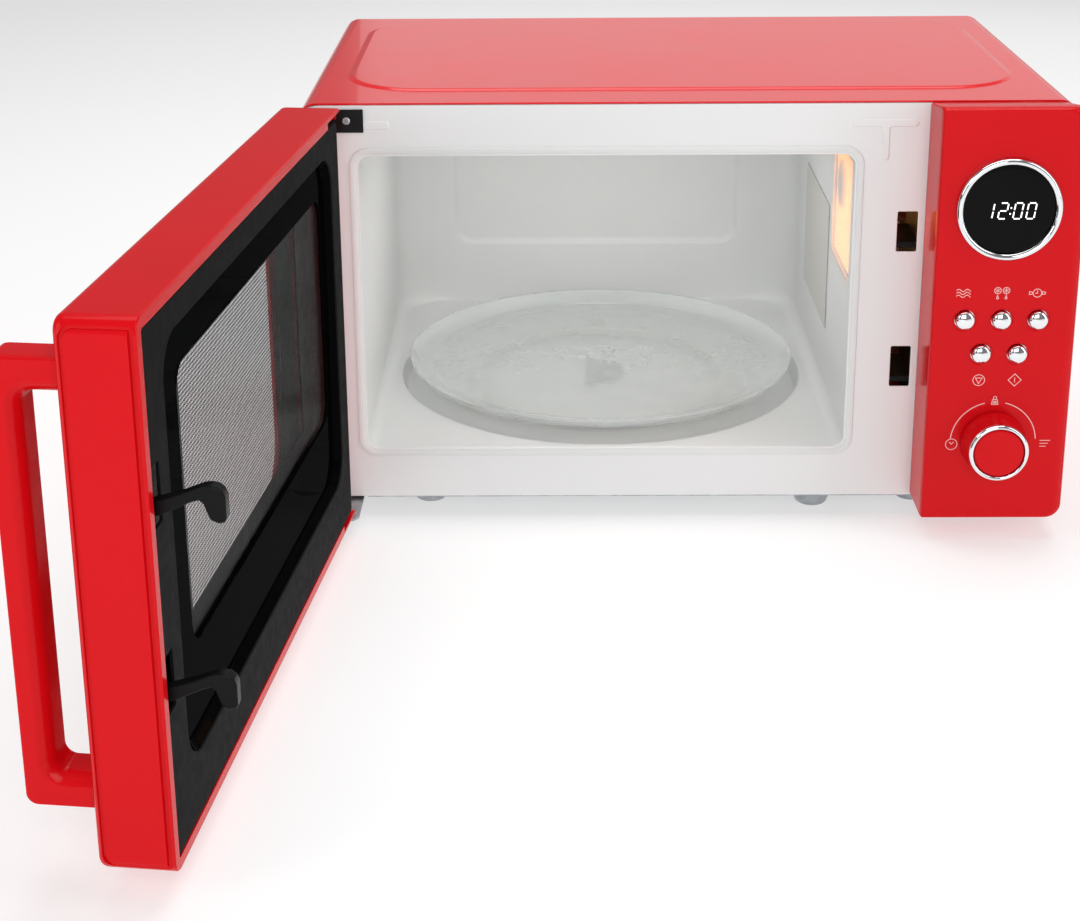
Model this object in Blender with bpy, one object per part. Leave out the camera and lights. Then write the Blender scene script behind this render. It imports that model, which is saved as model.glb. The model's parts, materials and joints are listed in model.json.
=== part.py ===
"""Counter-top microwave oven with a side-hung door, as separate pieces. Metres, +Z up, front faces -Y.

The origin is the middle of the base plate's underside in X, at the front frame in Y and on the plate in Z.
Door pieces are modelled where they are with the door shut, then hang on an empty on the hinge pins.
"""

import math

import bmesh
import bpy
from mathutils import Matrix, Vector

# Driving dimensions
CASE_WIDTH = 0.440
CASE_HEIGHT = 0.243
CASE_DEPTH = 0.262
CASE_CORNER = 0.010
SHEET = 0.001
GAP = 0.0003
FOOT_HEIGHT = 0.012
FRONT_DEPTH = 0.0356
FRONT_BOTTOM = 0.002
FRONT_TOP = 0.2465
PANEL_LEFT = 0.137
CAVITY_LEFT = -0.187
CAVITY_RIGHT = 0.096
CAVITY_FLOOR = 0.0325
CAVITY_ROOF = 0.212
CAVITY_BACK = 0.2712
TRAY_RADIUS = 0.1255
TRAY_Y = 0.1365
WELL_DEPTH = 0.0095
ROLLER_RADIUS = 0.0057
HINGE_X = -0.217
HINGE_Y = -0.0255
DOOR_OPEN_DEG = 96.3
DOOR_BACK = -0.0018
DOOR_RIGHT = PANEL_LEFT - 0.001
LATCH_X = 0.1250
BUTTON_RADIUS = 0.0054
BUTTON_SPOTS = {
    "button_power": (0.1558, 0.1244),
    "button_defrost": (0.1764, 0.1244),
    "button_timer": (0.1970, 0.1244),
    "button_stop": (0.1661, 0.1041),
    "button_start": (0.1867, 0.1041),
}
DISPLAY_CENTRE = (0.1762, 0.1895)
DIAL_CENTRE = (0.1760, 0.0506)
HANDLE_X = 0.1145
HANDLE_SCREWS = (0.2174, 0.0318)
HOOK_SLOTS = ((0.1570, 0.1830), (0.0745, 0.1005))
LATCH_LEDGES = (0.0737, 0.1562, 0.1830)
PIN_RADIUS = 0.0016
FAN_CENTRE = (0.160, 0.160)
FEET = ((0.081, 0.0225), (-0.152, 0.030), (0.143, 0.030), (-0.160, 0.228), (0.160, 0.228))

# Worked out from them
HALF = CASE_WIDTH / 2
CAVITY_X = (CAVITY_LEFT + CAVITY_RIGHT) / 2
PANEL_WALL = 0.002
PANEL_INSIDE = -FRONT_DEPTH + PANEL_WALL
WELL_FLOOR = CAVITY_FLOOR - WELL_DEPTH
TRAY_BOTTOM = WELL_FLOOR + 2 * ROLLER_RADIUS + 2 * GAP
FRAME_HOLES = {
    "cavity": (CAVITY_LEFT, CAVITY_RIGHT, CAVITY_FLOOR, CAVITY_ROOF, 0.007),
    "upper_slot": (0.1215, 0.1332, 0.154, 0.178, 0.001),
    "lower_slot": (0.1215, 0.1332, 0.071, 0.096, 0.001),
    "wiring": (0.155, 0.200, 0.105, 0.160, 0.005),
}


def clear_scene():
    for obj in list(bpy.data.objects):
        bpy.data.objects.remove(obj, do_unlink=True)


def linear(hex_colour):
    """sRGB hex to the linear colour that a shader takes."""
    values = [int(hex_colour[i : i + 2], 16) / 255 for i in (0, 2, 4)]
    return [v / 12.92 if v <= 0.04045 else ((v + 0.055) / 1.055) ** 2.4 for v in values]


def material(name, hex_colour, roughness, metallic=0.0, alpha=1.0):
    made = bpy.data.materials.new(name)
    made.use_nodes = True
    shader = made.node_tree.nodes["Principled BSDF"]
    colour = linear(hex_colour)
    shader.inputs["Base Color"].default_value = (*colour, 1.0)
    shader.inputs["Roughness"].default_value = roughness
    shader.inputs["Metallic"].default_value = metallic
    shader.inputs["Alpha"].default_value = alpha
    made.diffuse_color = (*colour, alpha)
    return made


def empty(name, place, turn_z_deg=0.0):
    made = bpy.data.objects.new(name, None)
    made.location = place
    made.rotation_euler.z = math.radians(turn_z_deg)
    bpy.context.scene.collection.objects.link(made)
    return made


def put(name, mesh_work, finish, origin=(0, 0, 0), parent=None, smooth=True):
    """Makes the object, with its mesh given in assembly coordinates and its origin at the given point."""
    bmesh.ops.recalc_face_normals(mesh_work, faces=mesh_work.faces)
    bmesh.ops.translate(mesh_work, verts=mesh_work.verts, vec=-Vector(origin))
    mesh = bpy.data.meshes.new(name)
    mesh_work.to_mesh(mesh)
    mesh_work.free()
    if smooth:
        mesh.shade_smooth()
        mesh.set_sharp_from_angle(angle=math.radians(35))
    if finish:
        mesh.materials.append(finish)
    made = bpy.data.objects.new(name, mesh)
    made.location = Vector(origin) - (parent.location if parent else Vector())
    made.parent = parent
    bpy.context.scene.collection.objects.link(made)
    return made


def loft(loops, ring=False):
    """A closed mesh through loops of points. The end loops are capped, or joined when ring is set."""
    work = bmesh.new()
    rows = [[work.verts.new(point) for point in loop] for loop in loops]
    pairs = list(zip(rows, rows[1:]))
    if ring:
        pairs.append((rows[-1], rows[0]))
    else:
        work.faces.new(rows[0])
        work.faces.new(rows[-1])
    for first, second in pairs:
        for k in range(len(first)):
            nxt = (k + 1) % len(first)
            work.faces.new((first[k], first[nxt], second[nxt], second[k]))
    return work


def rect(a0, a1, b0, b1, radius=0.0, steps=3):
    """A rectangle's outline as (a, b) points, with round corners. radius may be one value or four."""
    radii = radius if isinstance(radius, (tuple, list)) else (radius,) * 4
    corners = [(a1, b1, 0), (a0, b1, 90), (a0, b0, 180), (a1, b0, 270)]
    points = []
    for (a, b, start), r in zip(corners, radii):
        r = max(r, 1e-4)
        centre_a = a - r if a == a1 else a + r
        centre_b = b - r if b == b1 else b + r
        for k in range(steps + 1):
            angle = math.radians(start + 90 * k / steps)
            points.append((centre_a + r * math.cos(angle), centre_b + r * math.sin(angle)))
    return points


def at_y(outline, y):
    return [(a, y, b) for a, b in outline]


def at_z(outline, z):
    return [(a, b, z) for a, b in outline]


def at_x(outline, x):
    return [(x, a, b) for a, b in outline]


def box(name, low, high, finish, radius=0.0, origin=(0, 0, 0), parent=None):
    """A block between two corners. The corners seen from the front are round when a radius is given."""
    outline = rect(low[0], high[0], low[2], high[2], radius, 2 if radius else 1)
    if not radius:
        outline = [(high[0], high[2]), (low[0], high[2]), (low[0], low[2]), (high[0], low[2])]
    work = loft([at_y(outline, low[1]), at_y(outline, high[1])])
    return put(name, work, finish, origin, parent)


def circle(radius, height, centre, axis, segments):
    """Points round a circle about an axis through centre, at a height along that axis."""
    turn = Vector((0, 0, 1)).rotation_difference(Vector(axis)).to_matrix()
    points = []
    for k in range(segments):
        angle = 2 * math.pi * k / segments
        local = Vector((radius * math.cos(angle), radius * math.sin(angle), height))
        points.append(Vector(centre) + turn @ local)
    return points


def turned(profile, centre, axis=(0, 0, 1), segments=24, ring=False):
    """A turned shape from (radius, height) pairs."""
    return loft([circle(r, h, centre, axis, segments) for r, h in profile], ring)


def helper(name, work, parent=None):
    """A cutter or an operand of a Boolean, which is no piece of the oven."""
    made = put(name, work, None, (0, 0, 0), parent, smooth=False)
    made.hide_render = True
    made.display_type = "WIRE"
    return made


def joined(works):
    """Several meshes in one, as separate bodies for a Boolean to use."""
    whole = bmesh.new()
    for work in works:
        mesh = bpy.data.meshes.new("joined")
        work.to_mesh(mesh)
        work.free()
        whole.from_mesh(mesh)
        bpy.data.meshes.remove(mesh)
    return whole


def boolean(obj, operation, other):
    modifier = obj.modifiers.new(operation.title(), "BOOLEAN")
    modifier.operation = operation
    modifier.object = other
    return modifier


def block(low, high, radius=0.0):
    """The mesh of a block, for a cutter."""
    outline = rect(low[0], high[0], low[2], high[2], max(radius, 2e-4), 3 if radius else 1)
    return loft([at_y(outline, low[1]), at_y(outline, high[1])])


def rod(radius, start, end, segments=16):
    """The mesh of a round rod between two points."""
    start, end = Vector(start), Vector(end)
    length = (end - start).length
    return turned([(radius, 0), (radius, length)], start, (end - start).normalized(), segments)


def outer_case(finish):
    """The painted wrap: two sides and a top in one bent sheet, with a flange turned in at each bottom edge."""
    flange = 0.012

    def half_path(inset):
        arc = CASE_CORNER - inset
        points = [(HALF - flange, inset), (HALF - inset, inset)]
        for k in range(5):
            angle = math.radians(90 * k / 4)
            across = HALF - CASE_CORNER + arc * math.cos(angle)
            points.append((across, CASE_HEIGHT - CASE_CORNER + arc * math.sin(angle)))
        return points

    outside = half_path(0.0)
    inside = half_path(SHEET)
    outline = outside + [(-a, b) for a, b in reversed(outside)]
    outline += [(-a, b) for a, b in inside] + list(reversed(inside))
    work = loft([at_y(outline, 0.0), at_y(outline, CASE_DEPTH)])
    put("outer_case", work, finish)


def back_panel(finish):
    """The galvanised back, with a window that the cavity stands out through and air slots behind the fan."""
    low, high = CASE_DEPTH - 0.0015, CASE_DEPTH - 0.0005
    side = HALF - SHEET - GAP
    outer = rect(-side, side, SHEET + GAP, CASE_HEIGHT - SHEET - GAP, 0.0105)
    window = rect(CAVITY_LEFT - 0.0045, CAVITY_RIGHT + 0.0045, 0.0195, 0.2165, 0.004)
    work = loft([at_y(outer, low), at_y(outer, high), at_y(window, high), at_y(window, low)], ring=True)
    panel = put("back_panel", work, finish)
    edges = [0.116 + 0.011 * k for k in range(9)]
    slots = [block((x, 0.25, 0.130), (x + 0.005, 0.27, 0.190), 0.002) for x in edges]
    cord_hole = rod(0.0080, (0.160, 0.25, 0.060), (0.160, 0.27, 0.060))
    boolean(panel, "DIFFERENCE", helper("back_panel_cutter", joined(slots + [cord_hole])))


def base_plate(finish):
    """The galvanised bottom, with five feet pressed down out of the sheet."""
    side = HALF - 0.012 - GAP
    plate = put("base_plate", block((-side, 0.002, 0.0), (side, CASE_DEPTH - 0.003, SHEET)), finish)
    outside, inside = [], []
    for x, y in FEET:
        centre = (x, y, 0)
        outside.append(turned([(0.0138, SHEET / 2), (0.0088, -FOOT_HEIGHT)], centre, segments=12))
        profile = [(0.0128, SHEET + 0.001), (0.0126, -SHEET / 2), (0.0080, SHEET - FOOT_HEIGHT)]
        inside.append(turned(profile, centre, segments=12))
    boolean(plate, "UNION", helper("feet_outside", joined(outside)))
    boolean(plate, "DIFFERENCE", helper("feet_inside", joined(inside)))
    hinge_room = block((-side - 0.01, -0.01, -0.01), (-0.1885, 0.0325, 0.01))
    boolean(plate, "DIFFERENCE", helper("hinge_room_cutter", hinge_room))


def front_frame(finish):
    """The enamelled front plate, pierced for the cavity, the two latch hooks and the panel's wiring."""
    side = HALF - SHEET - GAP
    outline = rect(-side, side, SHEET + GAP, CASE_HEIGHT - SHEET - GAP, 0.0105)
    plate = put("front_frame", loft([at_y(outline, 0.0), at_y(outline, SHEET)]), finish)
    cuts = [block((x0, -0.01, z0), (x1, 0.01, z1), r) for x0, x1, z0, z1, r in FRAME_HOLES.values()]
    boolean(plate, "DIFFERENCE", helper("front_frame_cutter", joined(cuts)))


def cavity(finish):
    """The cooking space: side walls, roof, floor with a round well for the turntable, and a pressed rear wall."""
    front, back = SHEET + GAP, CAVITY_BACK - GAP
    left, right = CAVITY_LEFT - 0.0005, CAVITY_RIGHT + 0.0005
    top = CAVITY_ROOF + 0.0005
    floor = CAVITY_FLOOR - 0.0005
    box("cavity_left_wall", (left - SHEET, front, floor + GAP), (left, back, top - GAP), finish)
    wall = box("cavity_right_wall", (right, front, floor + GAP), (right + SHEET, back, top - GAP), finish)
    feed = block((right - 0.005, 0.120, 0.094), (right + 0.005, 0.180, 0.146), 0.003)
    boolean(wall, "DIFFERENCE", helper("waveguide_feed_cutter", feed))
    box("cavity_roof", (left - SHEET, front, top), (right + SHEET, back, top + SHEET), finish)

    steps = 7
    edge = rect(left - SHEET, right + SHEET, front, back, 0.0005, steps)
    count = 4 * (steps + 1)

    def ring_at(radius, z):
        turn = math.pi / count
        points = circle(radius, 0, (CAVITY_X, TRAY_Y, z), (0, 0, 1), count)
        spin = Matrix.Rotation(turn, 3, "Z")
        centre = Vector((CAVITY_X, TRAY_Y, z))
        return [centre + spin @ (p - centre) for p in points]

    well_top, well_low, shaft = 0.1310, 0.1280, 0.0085
    low = floor - SHEET
    loops = [
        at_z(edge, floor), ring_at(well_top, floor), ring_at(well_low, WELL_FLOOR), ring_at(shaft, WELL_FLOOR),
        ring_at(shaft, WELL_FLOOR - SHEET), ring_at(well_low + SHEET, WELL_FLOOR - SHEET),
        ring_at(well_top + SHEET, low), at_z(edge, low),
    ]
    put("cavity_floor", loft(loops, ring=True), finish)

    outline = rect(left - SHEET, right + SHEET, low, top + SHEET, 0.004)
    step_out = rect(-0.146, 0.055, 0.078, 0.192, 0.012)
    step_in = rect(-0.143, 0.052, 0.081, 0.189, 0.010)
    y, deep = CAVITY_BACK, CAVITY_BACK + 0.003
    loops = [
        at_y(step_in, deep), at_y(step_out, y), at_y(outline, y),
        at_y(outline, y + SHEET), at_y(step_out, y + SHEET), at_y(step_in, deep + SHEET),
    ]
    put("cavity_rear_wall", loft(loops), finish)


def microwave_parts(mica, steel, copper, dark, aluminium):
    """Everything behind the cavity's right wall that makes and feeds the microwaves."""
    wall = CAVITY_RIGHT + 0.0005
    box("waveguide_cover", (wall - 0.0007, 0.094, 0.074), (wall - GAP, 0.200, 0.155), mica)
    x0, x1 = wall + SHEET + GAP, wall + 0.026
    outer, inner = rect(0.106, 0.194, 0.086, 0.154, 0.002, 1), rect(0.107, 0.193, 0.087, 0.153, 0.001, 1)
    loops = [at_x(inner, x1 - SHEET), at_x(inner, x0), at_x(outer, x0), at_x(outer, x1)]
    put("waveguide", loft(loops), steel)
    tube = block((x1 + GAP, 0.112, 0.098), (0.186, 0.186, 0.142))
    edges = [x1 + 0.012 + 0.008 * k for k in range(5)]
    fins = [block((x, 0.106, 0.101), (x + 0.001, 0.192, 0.139)) for x in edges]
    core = put("magnetron", tube, aluminium)
    boolean(core, "UNION", helper("magnetron_fins", joined(fins)))
    y0, y1 = 0.062, 0.138
    core_loops = [at_y(rect(0.112, 0.200, 0.0075, 0.075, 0.001, 1), y) for y in (y0 + 0.018, y1 - 0.018)]
    transformer = put("transformer_core", loft(core_loops), steel)
    windows = [block((x, 0.0, 0.020), (x + 0.020, 0.3, 0.062)) for x in (0.124, 0.168)]
    foot = [block((0.108, y0 + 0.020, 0.0016), (0.204, y1 - 0.020, 0.0085))]
    boolean(transformer, "DIFFERENCE", helper("transformer_windows", joined(windows)))
    boolean(transformer, "UNION", helper("transformer_foot", joined(foot)))
    outer = rect(0.1245, 0.1875, y0, y1, 0.006, 2)
    inner = rect(0.1437, 0.1683, y0 + 0.0177, y1 - 0.0177, 0.001, 2)
    loops = [at_z(outer, 0.0205), at_z(outer, 0.0615), at_z(inner, 0.0615), at_z(inner, 0.0205)]
    put("transformer_winding", loft(loops, ring=True), copper)
    can = rect(0.006, 0.050, 0.168, 0.194, 0.0125, 4)
    put("hv_capacitor", loft([[(x, b, a) for a, b in can] for x in (0.112, 0.196)]), aluminium)
    box("filter_board", (0.112, 0.062, 0.2140), (0.198, 0.132, 0.2156), dark)


def fan(plastic, steel):
    """The cooling fan: a shroud with a round mouth, a motor on it and a bladed rotor behind it."""
    x, z = FAN_CENTRE
    y0, y1 = 0.2280, 0.2300
    outer = rect(0.104, 0.216, 0.100, 0.218, 0.004, 5)
    turns = [2 * math.pi * (k + 0.5) / 24 for k in range(24)]
    mouth = [(x + 0.050 * math.cos(turn), z + 0.050 * math.sin(turn)) for turn in turns]
    loops = [at_y(outer, y0), at_y(outer, y1), at_y(mouth, y1), at_y(mouth, y0)]
    put("fan_shroud", loft(loops, ring=True), plastic)
    motor = put("fan_motor", block((x - 0.020, 0.1960, z - 0.017), (x + 0.020, 0.2170, z + 0.023)), steel)
    arm = block((x - 0.055, 0.2168, z - 0.005), (x + 0.055, 0.2190, z + 0.005))
    legs = [block((x + s, 0.2170, z - 0.005), (x + s + 0.003, 0.2277, z + 0.005)) for s in (-0.0545, 0.0515)]
    boolean(motor, "UNION", helper("fan_motor_arm", joined([arm])))
    boolean(motor, "UNION", helper("fan_motor_legs", joined(legs)))
    hub = turned([(0.0120, 0), (0.0120, 0.015)], (x, 0.2225, z), (0, 1, 0), 20)
    rotor = put("fan_blade", hub, plastic, origin=(x, 0.2225, z))
    parts = []
    for k in range(5):
        blade = block((0.009, 0.0, -0.0110), (0.046, 0.0018, 0.0110))
        pitch = Matrix.Rotation(math.radians(32), 4, "X")
        spot = Matrix.Translation((x, 0.2300, z)) @ Matrix.Rotation(2 * math.pi * k / 5, 4, "Y") @ pitch
        bmesh.ops.transform(blade, matrix=spot, verts=blade.verts)
        parts.append(blade)
    boolean(rotor, "UNION", helper("fan_blades", joined(parts)))


def lamp(glass):
    """The cavity lamp's housing, against the right wall near the front."""
    wall = CAVITY_RIGHT + 0.0015 + GAP
    profile = [(0.0150, 0.0), (0.0150, 0.012), (0.0090, 0.020), (0.0090, 0.034)]
    put("cavity_lamp", turned(profile, (wall, 0.060, 0.178), (1, 0, 0), 16), glass)


def turntable(grey, glass, white, steel):
    """The turntable drive: motor, coupler, ring with three rollers, and the glass tray."""
    centre = (CAVITY_X, TRAY_Y, 0.0)
    put("turntable_motor", turned([(0.0245, SHEET + GAP), (0.0245, 0.0190)], centre), steel)
    hub = [(0.0065, 0.0195), (0.0065, TRAY_BOTTOM - 0.0010), (0.0035, TRAY_BOTTOM - GAP)]
    coupler = put("drive_coupler", turned(hub, centre, segments=18), grey, origin=centre)
    arms = []
    for k in range(3):
        arm = block((0.0, -0.0030, WELL_FLOOR + 0.0012), (0.0150, 0.0030, TRAY_BOTTOM - 0.0012))
        spot = Matrix.Translation(centre) @ Matrix.Rotation(2 * math.pi * k / 3, 4, "Z")
        bmesh.ops.transform(arm, matrix=spot, verts=arm.verts)
        arms.append(arm)
    boolean(coupler, "UNION", helper("coupler_arms", joined(arms)))

    base = TRAY_BOTTOM
    rim = TRAY_RADIUS
    profile = [
        (0.0005, base), (rim - 0.014, base), (rim - 0.005, base + 0.0030), (rim, base + 0.0085),
        (rim - 0.0008, base + 0.0100), (rim - 0.0040, base + 0.0098), (rim - 0.0090, base + 0.0060),
        (rim - 0.015, base + 0.0045), (0.0005, base + 0.0045),
    ]
    put("glass_tray", turned(profile, centre, segments=40), glass, origin=centre)

    middle = WELL_FLOOR + GAP + ROLLER_RADIUS
    low, high = middle - 0.0022, middle + 0.0022
    bar = [(0.0790, low), (0.0850, low), (0.0850, high), (0.0790, high)]
    ring = put("roller_ring", turned(bar, centre, segments=30, ring=True), white, origin=centre)
    axles = []
    wheel_in, wheel_out = 0.0900, 0.0970
    for k in range(3):
        angle = math.radians(90 + 120 * k)
        out = Vector((math.cos(angle), math.sin(angle), 0))
        start = Vector((CAVITY_X, TRAY_Y, middle))
        axles.append(rod(0.0014, start + out * 0.082, start + out * (wheel_out + 0.0015), 10))
        bore = 0.0014 + 0.00025
        profile = [(bore, wheel_in), (ROLLER_RADIUS, wheel_in), (ROLLER_RADIUS, wheel_out), (bore, wheel_out)]
        work = turned(profile, start, out, 20, ring=True)
        put(f"roller_wheel_{k + 1}", work, white, origin=start + out * wheel_in)
    boolean(ring, "UNION", helper("roller_axles", joined(axles)))


def latch_bracket(plastic, dark):
    """The bracket behind the latch slots, with a ledge under each hook and three door switches on its side."""
    x0, x1 = LATCH_X - 0.0045, LATCH_X + 0.0115
    bracket = put("latch_bracket", block((x1 - 0.002, SHEET + GAP, 0.058), (x1, 0.044, 0.192)), plastic)
    ledges = [block((x0, SHEET + GAP, z), (x1 - 0.001, 0.040, z + 0.003)) for z in LATCH_LEDGES]
    boolean(bracket, "UNION", helper("latch_ledges", joined(ledges)))
    for name, z in (("upper", 0.160), ("middle", 0.118), ("lower", 0.076)):
        box(f"door_switch_{name}", (x1 + GAP, 0.012, z), (x1 + 0.0065, 0.032, z + 0.0165), dark)


def control_panel(red, chrome, black, green, dark):
    """The red moulding on the right, with the display, five push buttons and the dial in it."""
    back = -0.0006
    left, right = PANEL_LEFT, HALF
    low, high = FRONT_BOTTOM, FRONT_TOP
    corner = (0.009, 0.002, 0.002, 0.007)
    wall = PANEL_WALL

    def outline(inset, right_inset, top_drop=0.0):
        radii = tuple(max(r - inset * 0.5, 0.0008) for r in corner)
        return rect(left + inset, right - right_inset, low + inset, high - inset - top_drop, radii, 4)

    top_drop = 0.0045
    loops = [
        at_y(outline(wall, wall), PANEL_INSIDE), at_y(outline(wall, wall, top_drop), back),
        at_y(outline(0, 0, top_drop), back), at_y(outline(0, 0), -FRONT_DEPTH + 0.008),
        at_y(outline(0, 0.0008), -FRONT_DEPTH + 0.0045), at_y(outline(0.0003, 0.0025), -FRONT_DEPTH + 0.0018),
        at_y(outline(0.0012, 0.0060), -FRONT_DEPTH),
    ]
    panel = put("control_panel", loft(loops), red)
    x, z = DISPLAY_CENTRE
    cuts = [rod(0.0258, (x, -0.06, z), (x, -0.02, z), 32)]
    for x, z in BUTTON_SPOTS.values():
        cuts.append(rod(BUTTON_RADIUS + 0.0006, (x, -0.06, z), (x, -0.02, z), 18))
    x, z = DIAL_CENTRE
    cuts.append(rod(0.0042, (x, -0.06, z), (x, -0.02, z), 16))
    boolean(panel, "DIFFERENCE", helper("panel_holes", joined(cuts)))

    front = -FRONT_DEPTH
    x, z = DISPLAY_CENTRE
    profile = [
        (0.0254, 0.0003), (0.0294, 0.0003), (0.0292, 0.0022), (0.0280, 0.0036), (0.0266, 0.0034), (0.0254, 0.0020),
    ]
    put("display_bezel", turned(profile, (x, front, z), (0, -1, 0), 32, ring=True), chrome)
    lens = [(0.0250, -0.0020), (0.0250, 0.0016)]
    put("display_lens", turned(lens, (x, front, z), (0, -1, 0), 32), black)
    box("display_module", (x - 0.022, PANEL_INSIDE + 0.0005, z - 0.010), (x + 0.022, -0.0124, z + 0.010), dark)
    for name, (x, z) in BUTTON_SPOTS.items():
        profile = [
            (0.0026, -0.0215), (0.0026, -0.0045), (0.0068, -0.0045), (0.0068, -0.0025), (BUTTON_RADIUS, -0.0025),
            (BUTTON_RADIUS, 0.0012), (0.0042, 0.0026), (0.0018, 0.0033),
        ]
        put(name, turned(profile, (x, front, z), (0, -1, 0), 18), chrome, origin=(x, front, z))
    x, z = DIAL_CENTRE
    sleeve = [
        (0.0030, -0.0060), (0.0030, 0.0012), (0.0187, 0.0012), (0.0187, 0.0030), (0.0172, 0.0060), (0.0166, 0.0178),
        (0.0150, 0.0186), (0.0142, 0.0178), (0.0142, 0.0150),
    ]
    put("dial_knob", turned(sleeve, (x, front, z), (0, -1, 0), 28), chrome, origin=(x, front, z))
    cap = [(0.0138, 0.0153), (0.0138, 0.0178), (0.0128, 0.0184)]
    put("dial_cap", turned(cap, (x, front, z), (0, -1, 0), 24), red, origin=(x, front, z))
    box("dial_encoder", (x - 0.006, front + 0.0064, z - 0.006), (x + 0.006, -0.0124, z + 0.006), dark)
    box("control_board", (0.143, -0.0120, 0.014), (0.214, -0.0104, 0.232), green)


def cord_inlet(rubber):
    """The bush in the back panel that the mains cord would come out of."""
    profile = [
        (0.0036, -0.0060), (0.0074, -0.0060), (0.0074, 0.0003), (0.0110, 0.0003), (0.0105, 0.0025), (0.0060, 0.0035),
        (0.0036, 0.0035),
    ]
    outside = CASE_DEPTH - 0.0005
    put("cord_inlet", turned(profile, (0.160, outside, 0.060), (0, 1, 0), 20, ring=True), rubber)


def leaf_outline(radius, back, steps=6):
    """A hinge leaf seen from above: a strip that ends in a half round about the pin."""
    points = [(HINGE_X + radius, back), (HINGE_X - radius, back)]
    for k in range(steps + 1):
        angle = math.radians(180 + 180 * k / steps)
        points.append((HINGE_X + radius * math.cos(angle), HINGE_Y + radius * math.sin(angle)))
    return points


def hinges(black, zinc, steel, door):
    """Upper and lower hinge brackets on the cabinet, and the two pins that turn in them with the door."""
    bore = PIN_RADIUS + 0.0003
    strip = leaf_outline(0.0030, -0.0005)
    upper = put("hinge_upper_bracket", loft([at_z(strip, 0.2360), at_z(strip, 0.2380)]), black)
    wall_leaf = block((HINGE_X - 0.0012, -0.0013, 0.2262), (-0.1830, -GAP, 0.2395))
    boolean(upper, "UNION", helper("hinge_upper_leaf", wall_leaf))
    hole = rod(bore, (HINGE_X, HINGE_Y, 0.230), (HINGE_X, HINGE_Y, 0.242), 14)
    boolean(upper, "DIFFERENCE", helper("hinge_upper_bore", hole))

    tab = [(-0.1905, 0.030), (HINGE_X - 0.0030, 0.030), (HINGE_X - 0.0030, HINGE_Y - 0.0020)]
    tab += [(HINGE_X - 0.0015, HINGE_Y - 0.0040), (-0.1945, HINGE_Y - 0.0030), (-0.1912, HINGE_Y + 0.0010)]
    lower = put("hinge_lower_bracket", loft([at_z(tab, -0.0018), at_z(tab, -GAP)]), zinc)
    hole = rod(bore, (HINGE_X, HINGE_Y, -0.010), (HINGE_X, HINGE_Y, 0.010), 14)
    boolean(lower, "DIFFERENCE", helper("hinge_lower_bore", hole))
    for name, low, high in (("upper", 0.2290, 0.2440), ("lower", -0.0024, 0.0120)):
        start = (HINGE_X, HINGE_Y, low)
        work = rod(PIN_RADIUS, start, (HINGE_X, HINGE_Y, high), 14)
        put(f"hinge_{name}_pin", work, steel, origin=start, parent=door)


def door_shell(red, door):
    """The red moulding round the door, with a window in its front and a lip turned in at the back."""
    left, right = -HALF, DOOR_RIGHT
    low, high = FRONT_BOTTOM, FRONT_TOP
    front, wall = -FRONT_DEPTH, 0.002
    corner = (0.007, 0.003, 0.003, 0.007)

    def outline(inset):
        radii = tuple(max(r - inset, 0.0008) for r in corner)
        return rect(left + inset, right - inset, low + inset, high - inset, radii)

    window_in = rect(-0.1735, 0.0835, 0.0445, 0.2055, 0.0235)
    loops = [
        at_y(outline(0.0055), DOOR_BACK), at_y(outline(0.0055), DOOR_BACK - wall),
        at_y(outline(wall), DOOR_BACK - wall), at_y(outline(wall), front + wall), at_y(window_in, front + wall),
        at_y(window_in, front), at_y(outline(0.0030), front), at_y(outline(0.0006), front + 0.0014),
        at_y(outline(0.0), front + 0.0040), at_y(outline(0.0), DOOR_BACK),
    ]
    shell = put("door_shell", loft(loops, ring=True), red, parent=door)
    cuts = [
        block((-0.225, DOOR_BACK - wall - 0.0003, FRONT_BOTTOM + wall), (-0.190, 0.010, FRONT_TOP - wall)),
        block((-0.225, HINGE_Y - 0.0046, 0.2345), (HINGE_X + 0.0050, 0.010, 0.2400)),
    ]
    for k, cut in enumerate(cuts):
        boolean(shell, "DIFFERENCE", helper(f"door_shell_cutter_{k + 1}", cut, door))
    room = PIN_RADIUS + GAP
    spans = ((-0.01, 0.0125), (0.228, 0.2447))
    pins = [rod(room, (HINGE_X, HINGE_Y, z0), (HINGE_X, HINGE_Y, z1), 12) for z0, z1 in spans]
    boolean(shell, "DIFFERENCE", helper("door_pin_cutter", joined(pins), door))
    screw_holes = [rod(0.0022, (HANDLE_X, -0.05, z), (HANDLE_X, -0.02, z), 12) for z in HANDLE_SCREWS]
    boolean(shell, "DIFFERENCE", helper("door_screw_cutter", joined(screw_holes), door))


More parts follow.
